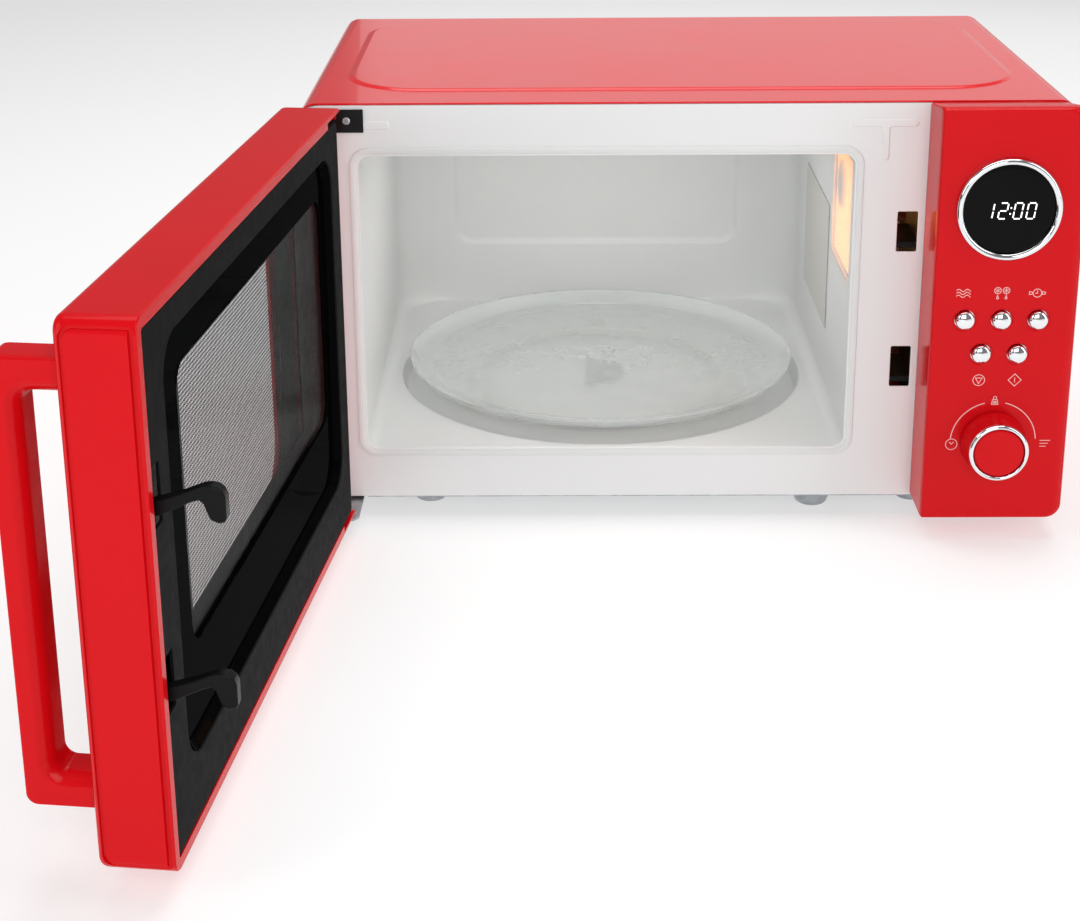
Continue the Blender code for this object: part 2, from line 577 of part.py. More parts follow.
def door_panels(glass, steel, black, film, door):
    """The layers inside the door: front glass, pressed steel screen, black inner cover and its window."""
    box("door_front_glass", (-0.184, -0.0333, 0.034), (0.0935, -0.0303, 0.216), glass, 0.010, parent=door)

    outer, inner = rect(-0.206, 0.113, 0.014, 0.234, 0.006), rect(-0.205, 0.112, 0.015, 0.233, 0.005)
    y = -0.0130
    loops = [at_y(inner, y - SHEET), at_y(inner, y - 0.009), at_y(outer, y - 0.009), at_y(outer, y)]
    put("door_screen", loft(loops), steel, parent=door)

    skin = 0.0015
    edge = rect(-0.2120, DOOR_RIGHT - 0.0058, 0.0078, 0.2407, 0.003)
    recess = rect(-0.1940, 0.1070, 0.0360, 0.2268, 0.018)
    ledge = rect(-0.1900, 0.1030, 0.0400, 0.2228, 0.015)
    hole = rect(-0.1800, 0.0800, 0.0780, 0.2060, 0.012)
    back_recess = rect(-0.1955, 0.1085, 0.0345, 0.2283, 0.0195)
    face = DOOR_BACK - GAP
    loops = [
        at_y(edge, face), at_y(recess, face), at_y(ledge, face - 0.0040), at_y(hole, face - 0.0040),
        at_y(hole, face - 0.0040 - skin), at_y(back_recess, face - 0.0040 - skin), at_y(back_recess, face - skin),
        at_y(edge, face - skin),
    ]
    cover = put("door_inner_cover", loft(loops, ring=True), black, parent=door)
    slots = [block((LATCH_X - 0.0048, -0.02, z0), (LATCH_X + 0.0043, 0.01, z1)) for z0, z1 in HOOK_SLOTS]
    boolean(cover, "DIFFERENCE", helper("hook_slot_cutter", joined(slots), door))
    y = face - 0.0040 - skin - GAP
    box("door_inner_window", (-0.186, y - 0.0006, 0.072), (0.086, y, 0.212), film, 0.006, parent=door)


def corner_arc(centre, radius, start_deg, turn_deg, steps=4):
    """Points round a quarter turn in the plane of the handle's bend."""
    points = []
    for k in range(steps + 1):
        angle = math.radians(start_deg + turn_deg * k / steps)
        points.append((centre[0] + radius * math.cos(angle), centre[1] + radius * math.sin(angle)))
    return points


def handle_outline(shrink, ease):
    """The grip from the side: a C with its ends on the door. ease rounds the edge round the finger gap."""
    root, out = -FRONT_DEPTH - GAP, -0.0695 + shrink
    top, bottom = 0.2252 - shrink, 0.0240 + shrink
    bar, arm = 0.0127 - shrink - ease, 0.0155 - shrink - ease
    outer, inner = 0.0050, 0.0055 + ease
    gap_out, gap_top, gap_bottom = out + bar, top - arm, bottom + arm
    points = [(root, top)] + corner_arc((out + outer, top - outer), outer, 90, 90)
    points += corner_arc((out + outer, bottom + outer), outer, 180, 90) + [(root, bottom), (root, gap_bottom)]
    points += corner_arc((gap_out + inner, gap_bottom + inner), inner, 270, -90)
    points += corner_arc((gap_out + inner, gap_top - inner), inner, 180, -90) + [(root, gap_top)]
    return points


def door_handle(red, steel, door):
    """The bowed grip near the door's free edge, and the two screws that hold it from inside."""
    near, far = HANDLE_X + 0.0090, HANDLE_X - 0.0090
    stations = [
        (far, 0.0012, 0.0), (far + 0.0012, 0.0, 0.0), (near - 0.0065, 0.0, 0.0), (near - 0.0030, 0.0, 0.0010),
        (near - 0.0009, 0.0002, 0.0034), (near, 0.0011, 0.0060),
    ]
    loops = [at_x(handle_outline(shrink, ease), x) for x, shrink, ease in stations]
    handle = put("door_handle", loft(loops), red, parent=door)
    bores = [rod(0.0021, (HANDLE_X, -FRONT_DEPTH - 0.012, z), (HANDLE_X, -0.02, z), 12) for z in HANDLE_SCREWS]
    boolean(handle, "DIFFERENCE", helper("handle_bores", joined(bores), door))
    for k, z in enumerate(HANDLE_SCREWS):
        profile = [(0.0017, -0.0115), (0.0017, 0.0023), (0.0038, 0.0023), (0.0034, 0.0044)]
        work = turned(profile, (HANDLE_X, -FRONT_DEPTH, z), (0, 1, 0), 14)
        put(f"handle_screw_{k + 1}", work, steel, parent=door)


def latch(black, steel, door):
    """One sprung slide with two hooks that reach back through the inner cover."""
    back, root, tip = -0.0280, -0.0060, 0.0262
    bar_front = -0.0215

    def hook(base):
        """From the bar's back edge up over the arm, down the nose and back along its underside."""
        return [
            (bar_front, base + 0.0080), (root, base + 0.0075), (0.0180, base + 0.0158), (0.0225, base + 0.0158),
            (tip, base + 0.0125), (tip, base + 0.0010), (0.0225, base), (0.0190, base + 0.0015),
            (0.0150, base + 0.0095), (0.0090, base + 0.0075), (root, base), (bar_front, base),
        ]

    outline = [(back, 0.218), (bar_front, 0.218)] + hook(0.1602) + hook(0.0777) + [(bar_front, 0.066), (back, 0.066)]
    x0, x1 = LATCH_X - 0.0028, LATCH_X + 0.0028
    put("latch_hooks", loft([at_x(outline, x0), at_x(outline, x1)]), black, parent=door)

    turns, per_turn, sides, wire, radius = 6, 8, 4, 0.0003, 0.0022
    low, high = 0.2187, 0.2438
    loops = []
    for k in range(turns * per_turn + 1):
        angle = 2 * math.pi * k / per_turn
        out = Vector((math.cos(angle), math.sin(angle), 0))
        centre = Vector((LATCH_X, -0.0247, low + (high - low) * k / (turns * per_turn))) + out * radius
        spots = [2 * math.pi * j / sides for j in range(sides)]
        loops.append([centre + out * wire * math.cos(s) + Vector((0, 0, wire * math.sin(s))) for s in spots])
    put("latch_spring", loft(loops), steel, parent=door)


def main():
    clear_scene()
    red = material("gloss_red_paint", "c8141c", 0.18)
    red_plastic = material("gloss_red_plastic", "cc1018", 0.16)
    zinc = material("galvanised_steel", "a8abae", 0.42, 0.9)
    enamel = material("white_enamel", "e6e6e4", 0.28)
    cavity_paint = material("cavity_paint", "d6d7d6", 0.34)
    chrome = material("chrome", "e8eaec", 0.06, 1.0)
    black = material("black_plastic", "17181a", 0.42)
    gloss_black = material("gloss_black", "08080a", 0.08)
    glass = material("clear_glass", "dfe8e6", 0.05, 0.0, 0.35)
    mica = material("mica", "8c8981", 0.55)
    steel = material("steel", "b9bbbd", 0.35, 1.0)
    copper = material("copper_winding", "a2562c", 0.40, 0.9)
    aluminium = material("aluminium", "c9ccd0", 0.35, 1.0)
    board = material("circuit_board", "1f5a34", 0.45)
    white = material("white_plastic", "e2e0da", 0.40)
    grey = material("grey_plastic", "8f9294", 0.45)

    outer_case(red)
    back_panel(zinc)
    base_plate(zinc)
    front_frame(enamel)
    cavity(cavity_paint)
    microwave_parts(mica, steel, copper, board, aluminium)
    fan(white, steel)
    lamp(white)
    turntable(grey, glass, white, steel)
    latch_bracket(black, black)
    control_panel(red_plastic, chrome, gloss_black, board, black)
    cord_inlet(black)
    door = empty("door_hinge_axis", (HINGE_X, HINGE_Y, 0.0), -DOOR_OPEN_DEG)
    hinges(black, zinc, steel, door)
    door_shell(red_plastic, door)
    door_panels(glass, steel, black, glass, door)
    door_handle(red_plastic, steel, door)
    latch(black, steel, door)


main()
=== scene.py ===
# %% [markdown]
# # A counter-top microwave oven with its door open
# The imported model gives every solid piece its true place, in metres. This lesson puts a finished
# surface on each one. Pieces whose CAD solid is already the right shape only get a better finish.
# Pieces that need rounder corners, pressings or fine holes are made again and stand for the solid.

import json
import math

import bmesh
import bpy
from mathutils import Matrix, Vector


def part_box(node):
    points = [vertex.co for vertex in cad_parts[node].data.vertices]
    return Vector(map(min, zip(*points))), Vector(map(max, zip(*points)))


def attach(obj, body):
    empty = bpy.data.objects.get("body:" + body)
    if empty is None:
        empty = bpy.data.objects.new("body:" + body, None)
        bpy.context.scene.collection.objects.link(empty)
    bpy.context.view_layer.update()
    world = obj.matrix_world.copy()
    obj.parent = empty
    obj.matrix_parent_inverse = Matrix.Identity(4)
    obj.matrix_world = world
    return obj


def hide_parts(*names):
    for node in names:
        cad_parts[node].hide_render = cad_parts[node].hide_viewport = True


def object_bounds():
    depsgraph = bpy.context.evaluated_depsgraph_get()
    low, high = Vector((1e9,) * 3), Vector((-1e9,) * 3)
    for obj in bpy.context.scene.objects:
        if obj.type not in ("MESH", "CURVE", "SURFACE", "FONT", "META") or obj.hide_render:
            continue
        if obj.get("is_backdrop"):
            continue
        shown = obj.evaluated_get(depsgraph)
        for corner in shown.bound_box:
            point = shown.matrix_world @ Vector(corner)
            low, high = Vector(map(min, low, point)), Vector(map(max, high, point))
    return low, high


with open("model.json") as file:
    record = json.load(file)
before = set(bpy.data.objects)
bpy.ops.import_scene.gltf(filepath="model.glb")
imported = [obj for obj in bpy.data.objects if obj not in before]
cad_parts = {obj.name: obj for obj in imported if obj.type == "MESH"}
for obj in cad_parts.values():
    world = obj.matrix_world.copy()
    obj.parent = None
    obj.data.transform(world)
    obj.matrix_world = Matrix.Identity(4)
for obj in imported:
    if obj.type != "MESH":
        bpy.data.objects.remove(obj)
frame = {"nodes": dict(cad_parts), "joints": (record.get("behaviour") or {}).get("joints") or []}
nodes = frame["nodes"]
cad_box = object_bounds()

# %% [markdown]
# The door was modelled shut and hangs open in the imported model, so a door piece is easiest to
# make in its shut place and then swing. The hinge joint in the record gives the pin's place and
# the angle, so nothing has to be guessed.

# %% How the door hangs
hinge = next(joint for joint in frame["joints"] if joint["name"] == "door_hinge")
PIN = Vector((hinge["pos_m"][0], hinge["pos_m"][1], 0.0))
SWING = Matrix.Rotation(-math.radians(hinge["range_deg"][1]), 4, "Z")
OPENED = Matrix.Translation(PIN) @ SWING @ Matrix.Translation(-PIN)
DOOR_BODIES = ("door", "latch")
print("door pin at", [round(value, 4) for value in PIN[:2]], "open", hinge["range_deg"][1], "deg")

# %% Sizes shared by several pieces, in metres
HALF = 0.220
CASE_TOP, CASE_DEPTH, CASE_CORNER = 0.243, 0.262, 0.010
SHEET = 0.001
FRONT = -0.0356
FRONT_LOW, FRONT_TOP = 0.002, 0.2465
PANEL_LEFT, DOOR_RIGHT = 0.137, 0.136
MOUTH = (-0.187, 0.096, 0.0325, 0.212)
TRAY_X, TRAY_Y, TRAY_LOW = -0.0455, 0.1365, 0.035
WELL_FLOOR = 0.023
DOOR_BACK = -0.0018
DISPLAY = (0.1762, 0.1895)
DIAL = (0.1760, 0.0506)
HANDLE_X, HOOK_X = 0.1145, 0.1250
print("case", 2 * HALF, "x", CASE_DEPTH, "x", CASE_TOP, "m; tray centre", TRAY_X, TRAY_Y)

# %% [markdown]
# ## Finishes
# Every finish is a small node tree on one shader. Colours are written as the sRGB hex values a
# painter would read off a chart, and one function turns them into the linear numbers light needs.
# One more function adds a node with its settings and links, and the rest is built from it.


# %% Two helpers for node trees
def linear(hex_colour):
    """sRGB hex to linear red, green, blue and alpha."""
    parts = [int(hex_colour[k : k + 2], 16) / 255 for k in (0, 2, 4)]
    return (*[p / 12.92 if p <= 0.04045 else ((p + 0.055) / 1.055) ** 2.4 for p in parts], 1.0)


def add(tree, kind, inputs=None, **settings):
    """One node. inputs takes a socket's name or number to a value, or to the socket that feeds it."""
    node = tree.nodes.new(kind)
    for key, value in settings.items():
        setattr(node, key, value)
    for key, value in (inputs or {}).items():
        if isinstance(value, bpy.types.NodeSocket):
            tree.links.new(value, node.inputs[key])
        else:
            node.inputs[key].default_value = value
    return node


# %% [markdown]
# Most finishes share one recipe: two close colours mixed in soft patches, a roughness that drifts
# between two values, and a fine bump for the texture of the surface. Patch and grain sizes are
# given in millimetres, and a noise of scale 1000 / size in a scene in metres has that size.
# Object coordinates keep the pattern fixed to each piece as it moves with its joint.


# %% The shared recipe
def finish(
    name, light, dark, patch, rough, metallic=0.0, grain=1.0, depth=0.0, stretch=(1, 1, 1), **sockets
):
    """A finish. patch and grain are sizes in mm, depth is the height of the grain in mm."""
    made = bpy.data.materials.new(name)
    made.use_nodes = True
    tree = made.node_tree
    shader = tree.nodes["Principled BSDF"]
    place = add(tree, "ShaderNodeTexCoord").outputs["Object"]
    spot = add(tree, "ShaderNodeMapping", {"Vector": place, "Scale": stretch}).outputs["Vector"]
    drift = add(tree, "ShaderNodeTexNoise", {"Vector": spot, "Scale": 1000 / patch, "Detail": 3.0})
    tint = add(
        tree, "ShaderNodeMix", {0: drift.outputs["Fac"], 6: linear(dark), 7: linear(light)},
        data_type="RGBA",
    )
    tree.links.new(tint.outputs[2], shader.inputs["Base Color"])
    ends = {"From Min": 0.3, "From Max": 0.7, "To Min": rough[0], "To Max": rough[1]}
    spread = add(tree, "ShaderNodeMapRange", {"Value": drift.outputs["Fac"], **ends})
    tree.links.new(spread.outputs["Result"], shader.inputs["Roughness"])
    if depth:
        fine = add(tree, "ShaderNodeTexNoise", {"Vector": spot, "Scale": 1000 / grain, "Detail": 4.0})
        bump = add(
            tree, "ShaderNodeBump", {"Height": fine.outputs["Fac"], "Distance": depth / 1000, "Strength": 0.8}
        )
        tree.links.new(bump.outputs["Normal"], shader.inputs["Normal"])
    shader.inputs["Metallic"].default_value = metallic
    for socket, value in sockets.items():
        shader.inputs[socket.replace("_", " ")].default_value = value
    return made


# %% [markdown]
# The body is steel with a gloss powder coat, and the door and panel are gloss ABS in the same red.
# A clear coat over a slightly rough base gives the sharp highlight on a deep colour. Powder coat
# keeps a faint orange peel, with bumps about 6 mm across and a micron high. Moulded ABS is
# flatter. The front plate is baked enamel and the oven's inside a duller paint on steel.

# %% Painted and moulded reds, and the whites
COAT = {"Coat_Weight": 0.4, "Coat_Roughness": 0.04, "Specular_IOR_Level": 0.2}
THIN_COAT = {"Coat_Weight": 0.10, "Coat_Roughness": 0.03, "Specular_IOR_Level": 0.09}
red_paint = finish(
    "gloss_red_powder_coat", "e61620", "dd131c", 60, (0.20, 0.24), grain=6.0, depth=0.0012, **COAT
)
red_plastic = finish(
    "gloss_red_abs", "d30d17", "cb0a13", 45, (0.20, 0.24), grain=12.0, depth=0.0008, **THIN_COAT
)
enamel = finish("white_baked_enamel", "e8e8e8", "e7e7e7", 40, (0.28, 0.30), grain=5.0, depth=0.0006)
oven_paint = finish("oven_paint_on_steel", "e2e3e2", "dddfde", 35, (0.34, 0.40), grain=2.0, depth=0.003)
white_plastic = finish("white_moulded_plastic", "e6e4de", "dcdad3", 12, (0.36, 0.46), grain=1.2, depth=0.01)
grey_plastic = finish("grey_moulded_plastic", "9a9d9f", "8a8d8f", 9, (0.40, 0.50), grain=0.8, depth=0.01)
print("painted and moulded finishes made")

# %% [markdown]
# The metals: chrome plating is a mirror with hardly any drift. Plain steel and aluminium show
# rolling lines, drawn by stretching the noise along one axis. Black plastics differ only in their
# surface: the door's inner cover has a spark-eroded texture about 0.7 mm across, and the recess
# round its window is polished. Black needs a very low reflection to stay black at a flat angle.

# %% Metals, blacks and the rest
chrome = finish("chrome_plating", "eef0f2", "e4e7ea", 20, (0.04, 0.07), metallic=1.0)
steel = finish(
    "rolled_steel", "c2c4c6", "a3a6a9", 4, (0.28, 0.42), metallic=1.0, grain=0.6, depth=0.004,
    stretch=(0.06, 1, 1),
)
aluminium = finish(
    "drawn_aluminium", "d0d3d6", "babdc1", 3, (0.26, 0.40), metallic=1.0, grain=0.5, depth=0.004,
    stretch=(1, 0.06, 1),
)
black_textured = finish(
    "textured_black_abs", "1c1c1d", "151516", 6, (0.50, 0.62), grain=0.7, depth=0.03, Specular_IOR_Level=0.02
)
black_plastic = finish(
    "satin_black_plastic", "101112", "0a0b0c", 8, (0.28, 0.38), depth=0.006, Specular_IOR_Level=0.12
)
POLISH = {"Specular_IOR_Level": 0.0, "Coat_Roughness": 0.03}
gloss_black, recess_black = (
    finish(name, "050506", "030304", 30, (0.06, 0.10), Coat_Weight=coat, **POLISH)
    for name, coat in (("polished_black_plastic", 0.2), ("polished_recess_plastic", 0.03))
)
black_metal = finish("black_passivated_steel", "232426", "141516", 5, (0.28, 0.40), metallic=0.7, depth=0.01)
rubber = finish("black_rubber", "1c1c1c", "141414", 5, (0.60, 0.75), grain=0.9, depth=0.02)
board_green = finish("green_circuit_board", "23613a", "184a2b", 4, (0.34, 0.50), grain=1.2, depth=0.02)
mica = finish("mica_sheet", "d3d2ce", "c6c4bf", 3, (0.42, 0.62), grain=0.8, depth=0.02)
copper = finish(
    "enamelled_copper_wire", "b5673a", "7c3d1c", 1.6, (0.30, 0.42), metallic=0.9, depth=0.05,
    stretch=(0.1, 0.1, 1),
)
print("metals and blacks made")


# %% [markdown]
# Hot-dip galvanised steel is known by its spangle: flat zinc crystals 5 to 10 mm across, each with
# its own grey. A Voronoi texture gives one random value per cell, which is exactly that.


# %% Galvanised steel
def spangled(name, light, dark, crystal):
    """Galvanised sheet with crystals of the given size in mm."""
    made = finish(name, light, dark, 30, (0.34, 0.46), metallic=0.9, grain=2.0, depth=0.004)
    tree = made.node_tree
    place = add(tree, "ShaderNodeTexCoord").outputs["Object"]
    cells = add(tree, "ShaderNodeTexVoronoi", {"Vector": place, "Scale": 1000 / crystal})
    shade = add(tree, "ShaderNodeSeparateColor", {"Color": cells.outputs["Color"]}).outputs["Red"]
    tint = add(tree, "ShaderNodeMix", {0: shade, 6: linear(dark), 7: linear(light)}, data_type="RGBA")
    tree.links.new(tint.outputs[2], tree.nodes["Principled BSDF"].inputs["Base Color"])
    return made


galvanised = spangled("galvanised_steel", "bcc0c3", "9a9ea2", 7)
print("galvanised crystals 7 mm across")

# %% [markdown]
# The tray is satin pressed glass. Real refraction through it costs much light and noise for
# little, so it keeps some transmission and is partly clear by its alpha. The two door panes are
# thin and flat, and only tint and reflect, so their alpha is low. The lamp and the digits glow.


# %% Glass, and the things that glow
def glowing(name, hex_colour, strength, patch):
    """A finish that also gives light, a little uneven as a real diffuser is."""
    made = finish(name, hex_colour, hex_colour, patch, (0.4, 0.5))
    shader = made.node_tree.nodes["Principled BSDF"]
    shader.inputs["Emission Color"].default_value = linear(hex_colour)
    shader.inputs["Emission Strength"].default_value = strength
    return made


tray_glass = finish(
    "satin_pressed_glass", "eef2f1", "e2e8e7", 18, (0.10, 0.20), grain=1.5, depth=0.01,
    IOR=1.5, Alpha=0.38, Coat_Weight=0.6, Coat_Roughness=0.08,
)
pane_glass = finish("clear_float_glass", "30353a", "2b2f33", 80, (0.02, 0.04), IOR=1.5, Alpha=0.10)
window_film = finish(
    "clear_polyester_film", "15171a", "101214", 60, (0.04, 0.08), Specular_IOR_Level=0.2, Alpha=0.12
)
digit_glow = glowing("lit_display_segment", "e8eceb", 1.1, 6)
lamp_glow = glowing("warm_lamp_light", "ffae52", 3.2, 10)
mark_ink = finish("pale_printed_ink", "f2c9c6", "ecbcb9", 4, (0.45, 0.55))
print("glass and glowing finishes made")

# %% [markdown]
# ## Making shapes
# A few small functions make most of the oven. Its mouldings are lofts, where each loop of points
# is joined to the next, and its round pieces are turned from a profile. A rounded rectangle
# gives the loops, always with the same number of points, so any two can be joined.


# %% Outlines and lofts
def rounded(a0, a1, b0, b1, radius, steps=8):
    """A rectangle's outline with round corners, whose radius is one value or four."""
    radii = radius if isinstance(radius, tuple) else (radius,) * 4
    corners = ((a1, b1, 0), (a0, b1, 90), (a0, b0, 180), (a1, b0, 270))
    points = []
    for (a, b, start), r in zip(corners, radii):
        centre = (a - r if a == a1 else a + r, b - r if b == b1 else b + r)
        for k in range(steps + 1):
            turn = math.radians(start + 90 * k / steps)
            points.append((centre[0] + r * math.cos(turn), centre[1] + r * math.sin(turn)))
    return points


def level(outline, axis, height):
    """The outline as points in the plane across that axis, at that height along it."""
    if axis == "x":
        return [(height, a, b) for a, b in outline]
    if axis == "y":
        return [(a, height, b) for a, b in outline]
    return [(a, b, height) for a, b in outline]


def loft(loops, ends="capped"):
    """A mesh through loops of points. ends is capped, open, or ring, which joins the last to the first."""
    work = bmesh.new()
    rows = [[work.verts.new(point) for point in loop] for loop in loops]
    pairs = list(zip(rows, rows[1:]))
    if ends == "ring":
        pairs.append((rows[-1], rows[0]))
    if ends == "capped":
        work.faces.new(rows[0])
        work.faces.new(rows[-1])
    for first, second in pairs:
        for k in range(len(first)):
            after = (k + 1) % len(first)
            work.faces.new((first[k], first[after], second[after], second[k]))
    return work


def stacked(axis, steps, ends="capped"):
    """A loft through pairs of an outline and its height along the axis."""
    return loft([level(outline, axis, height) for outline, height in steps], ends)


def slab(outline, axis, low, high):
    """A flat shape with that outline, between two heights along the axis."""
    return stacked(axis, [(outline, low), (outline, high)])


# %% Turned shapes, blocks and rods
def circle(radius, height, centre, axis, segments):
    """Points round an axis through centre, at a height along it."""
    turn = Vector((0, 0, 1)).rotation_difference(Vector(axis)).to_matrix()
    spots = [2 * math.pi * k / segments for k in range(segments)]
    return [
        Vector(centre) + turn @ Vector((radius * math.cos(s), radius * math.sin(s), height)) for s in spots
    ]


def turned(profile, centre, axis=(0, 0, 1), segments=96, ends="capped"):
    """A turned shape from (radius, height) pairs."""
    return loft([circle(r, h, centre, axis, segments) for r, h in profile], ends)


def block(low, high, radius=0.0003, steps=6):
    """A block whose corners are round as seen from the front."""
    outline = rounded(low[0], high[0], low[2], high[2], radius, steps)
    return slab(outline, "y", low[1], high[1])


def rod(radius, start, end, segments=32):
    start, end = Vector(start), Vector(end)
    return turned([(radius, 0), (radius, (end - start).length)], start, end - start, segments)


def moved(work, x, y, z, turn):
    """The mesh turned about Z by an angle in degrees, then moved."""
    place = Matrix.Translation((x, y, z)) @ Matrix.Rotation(math.radians(turn), 4, "Z")
    bmesh.ops.transform(work, matrix=place, verts=work.verts)
    return work


def together(works):
    """Several meshes as one."""
    whole = bmesh.new()
    for work in works:
        mesh = bpy.data.meshes.new("part")
        work.to_mesh(mesh)
        work.free()
        whole.from_mesh(mesh)
        bpy.data.meshes.remove(mesh)
    return whole


# %% [markdown]
# Holes are cut with exact Booleans on a helper object, whose evaluated mesh is then taken back.
# A sheet gets its thickness from Solidify in the same way. A finished mesh becomes a piece by one
# function: it welds the points, turns the faces outwards, swings a door piece open, marks the
# sharp edges, hangs it on the empty of the body it rides on, and hides the CAD solid it stands for.


# %% Cutting, thickening and finishing a piece
def evaluated(obj):
    """The object's mesh with its modifiers applied, as a new bmesh."""
    graph = bpy.context.evaluated_depsgraph_get()
    mesh = bpy.data.meshes.new_from_object(obj.evaluated_get(graph))
    work = bmesh.new()
    work.from_mesh(mesh)
    bpy.data.meshes.remove(mesh)
    return work


def helper(work, name="helper"):
    mesh = bpy.data.meshes.new(name)
    work.to_mesh(mesh)
    work.free()
    made = bpy.data.objects.new(name, mesh)
    bpy.context.scene.collection.objects.link(made)
    return made


def tidy_faces(work):
    bmesh.ops.remove_doubles(work, verts=work.verts, dist=2e-6)
    bmesh.ops.dissolve_degenerate(work, edges=work.edges, dist=1e-7)
    bmesh.ops.recalc_face_normals(work, faces=work.faces)
    return work


def carved(work, cutters, operation="DIFFERENCE"):
    """The mesh after an exact Boolean with each cutter in turn."""
    target = helper(tidy_faces(work))
    tools = [helper(tidy_faces(cutter)) for cutter in cutters]
    for tool in tools:
        cut = target.modifiers.new("cut", "BOOLEAN")
        cut.operation, cut.object, cut.solver = operation, tool, "EXACT"
    result = evaluated(target)
    for obj in [target] + tools:
        bpy.data.objects.remove(obj, do_unlink=True)
    return result


def thickened(work, thickness, towards):
    """A sheet given thickness on its back. towards is a direction that its largest face looks in."""
    tidy_faces(work)
    largest = max(work.faces, key=lambda face: face.calc_area() * abs(face.normal.dot(Vector(towards))))
    if largest.normal.dot(Vector(towards)) < 0:
        bmesh.ops.reverse_faces(work, faces=work.faces)
    sheet = helper(work)
    wall = sheet.modifiers.new("wall", "SOLIDIFY")
    wall.thickness, wall.offset, wall.use_even_offset = thickness, -1.0, True
    result = evaluated(sheet)
    bpy.data.objects.remove(sheet, do_unlink=True)
    return result


made_pieces = []


def piece(name, work, look, body, stands_for=(), sharp=30, edge=0.0, closed=True):
    """Finishes a mesh as a named piece. edge is the width of a rounding on its sharp edges."""
    if closed:
        tidy_faces(work)
    if body in DOOR_BODIES:
        bmesh.ops.transform(work, matrix=OPENED, verts=work.verts)
    mesh = bpy.data.meshes.new(name)
    work.to_mesh(mesh)
    work.free()
    mesh.materials.clear()
    mesh.materials.append(look)
    for face in mesh.polygons:
        face.material_index = 0
    mesh.shade_smooth()
    mesh.set_sharp_from_angle(angle=math.radians(sharp))
    obj = bpy.data.objects.new(name, mesh)
    bpy.context.scene.collection.objects.link(obj)
    if edge:
        bevel = obj.modifiers.new("eased_edges", "BEVEL")
        bevel.width, bevel.segments, bevel.limit_method = edge, 2, "ANGLE"
        bevel.angle_limit = math.radians(35)
    evenly = obj.modifiers.new("flat_faces_stay_flat", "WEIGHTED_NORMAL")
    evenly.keep_sharp = True
    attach(obj, body)
    if stands_for:
        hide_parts(*stands_for)
    made_pieces.append(name)
    return obj


print("shape helpers ready")

# %% [markdown]
# ## The outer case
# The wrap is one steel sheet folded over the sides and top, with a large panel pressed up in the
# top to stiffen it. The press leaves a soft step about 4 mm wide. A loft shows this best: loops
# that follow the panel's rounded outline climb the step, and everything else stays flat. Solidify
# gives the sheet its thickness on the inside.


# %% Case wrap with its pressed top
def case_side(sign):
    """One side of the wrap, from the flange under it, up the wall and over the corner."""
    fold, middle, high = 0.002, HALF - CASE_CORNER, CASE_TOP - CASE_CORNER
    points = [(HALF - 0.012, 0.0), (HALF - fold, 0.0)]
    points += [(HALF - fold + fold * math.sin(t), fold - fold * math.cos(t)) for t in (0.5, 1.0, math.pi / 2)]
    for k in range(11):
        turn = math.pi / 2 * k / 10
        points.append((middle + CASE_CORNER * math.cos(turn), high + CASE_CORNER * math.sin(turn)))
    work = bmesh.new()
    rows = [[work.verts.new((sign * a, y, b)) for a, b in points] for y in (0.0, CASE_DEPTH)]
    for k in range(len(points) - 1):
        work.faces.new((rows[0][k], rows[0][k + 1], rows[1][k + 1], rows[1][k]))
    return work


def raised_lid(loops):
    """A loft open at its first loop and closed at its last."""
    work = loft(loops, "open")
    work.verts.ensure_lookup_table()
    count = len(loops[-1])
    work.faces.new([work.verts[k] for k in range(len(work.verts) - count, len(work.verts))])
    return work


def top_loops():
    """From the sheet's edge to the rim of the raised panel, up its soft step."""
    across, rise, width = HALF - CASE_CORNER, 0.0011, 0.0044
    loops = [level(rounded(-across, across, 0.0, CASE_DEPTH, 0.0), "z", CASE_TOP)]
    for k in range(8):
        share = k / 7
        inset = width * share
        back, front = 0.034 - inset, 0.046 - inset
        radii = (back, back, front, front)
        outline = rounded(-0.199 + inset, 0.199 - inset, 0.029 + inset, 0.241 - inset, radii)
        loops.append(level(outline, "z", CASE_TOP + rise * share * share * (3 - 2 * share)))
    return loops


wrap = together([case_side(1), case_side(-1), raised_lid(top_loops())])
piece("case_wrap", thickened(wrap, SHEET, (0, 0, 1)), red_paint, "cabinet", ("outer_case",))
print("raised panel climbs 1.1 mm over a step 4.4 mm wide")

# %% [markdown]
# ## The front plate and the oven's inside
# The white front plate is flat enamelled steel with holes for the cooking space, the latch hooks
# and the panel's wiring. Two shallow pressings near its top stiffen it. They are separate low pads
# with sloping sides here, which is quicker than pressing the plate and looks the same.


# %% Front plate with its pressings
def pad(outline, y, rise, slope):
    """A low raised shape on a face that looks to -Y, from its outline and the outline of its top."""
    return stacked("y", [(outline, y + 0.0002), (outline, y), (slope, y - rise)])


plate_edge = rounded(-HALF + 0.0013, HALF - 0.0013, 0.0013, CASE_TOP - 0.0013, 0.0105)
plate = slab(plate_edge, "y", 0.0, SHEET)
holes = [block((MOUTH[0], -0.01, MOUTH[2]), (MOUTH[1], 0.01, MOUTH[3]), 0.007, 10)]
for z0, z1 in ((0.154, 0.178), (0.071, 0.096)):
    holes.append(block((0.1215, -0.01, z0), (0.1332, 0.01, z1), 0.001))
holes.append(block((0.155, -0.01, 0.105), (0.200, 0.01, 0.160), 0.005))
plate = carved(plate, [together(holes)])
piece("front_plate", plate, enamel, "cabinet", ("front_frame",), edge=0.0004)

PRESSED = 0.0007
bar_foot = rounded(-0.1976, -0.1685, 0.2276, 0.2327, 0.0024)
bar_top = rounded(-0.1968, -0.1693, 0.2284, 0.2319, 0.0016)
piece("pressed_bar_left", pad(bar_foot, 0.0, PRESSED, bar_top), enamel, "cabinet")


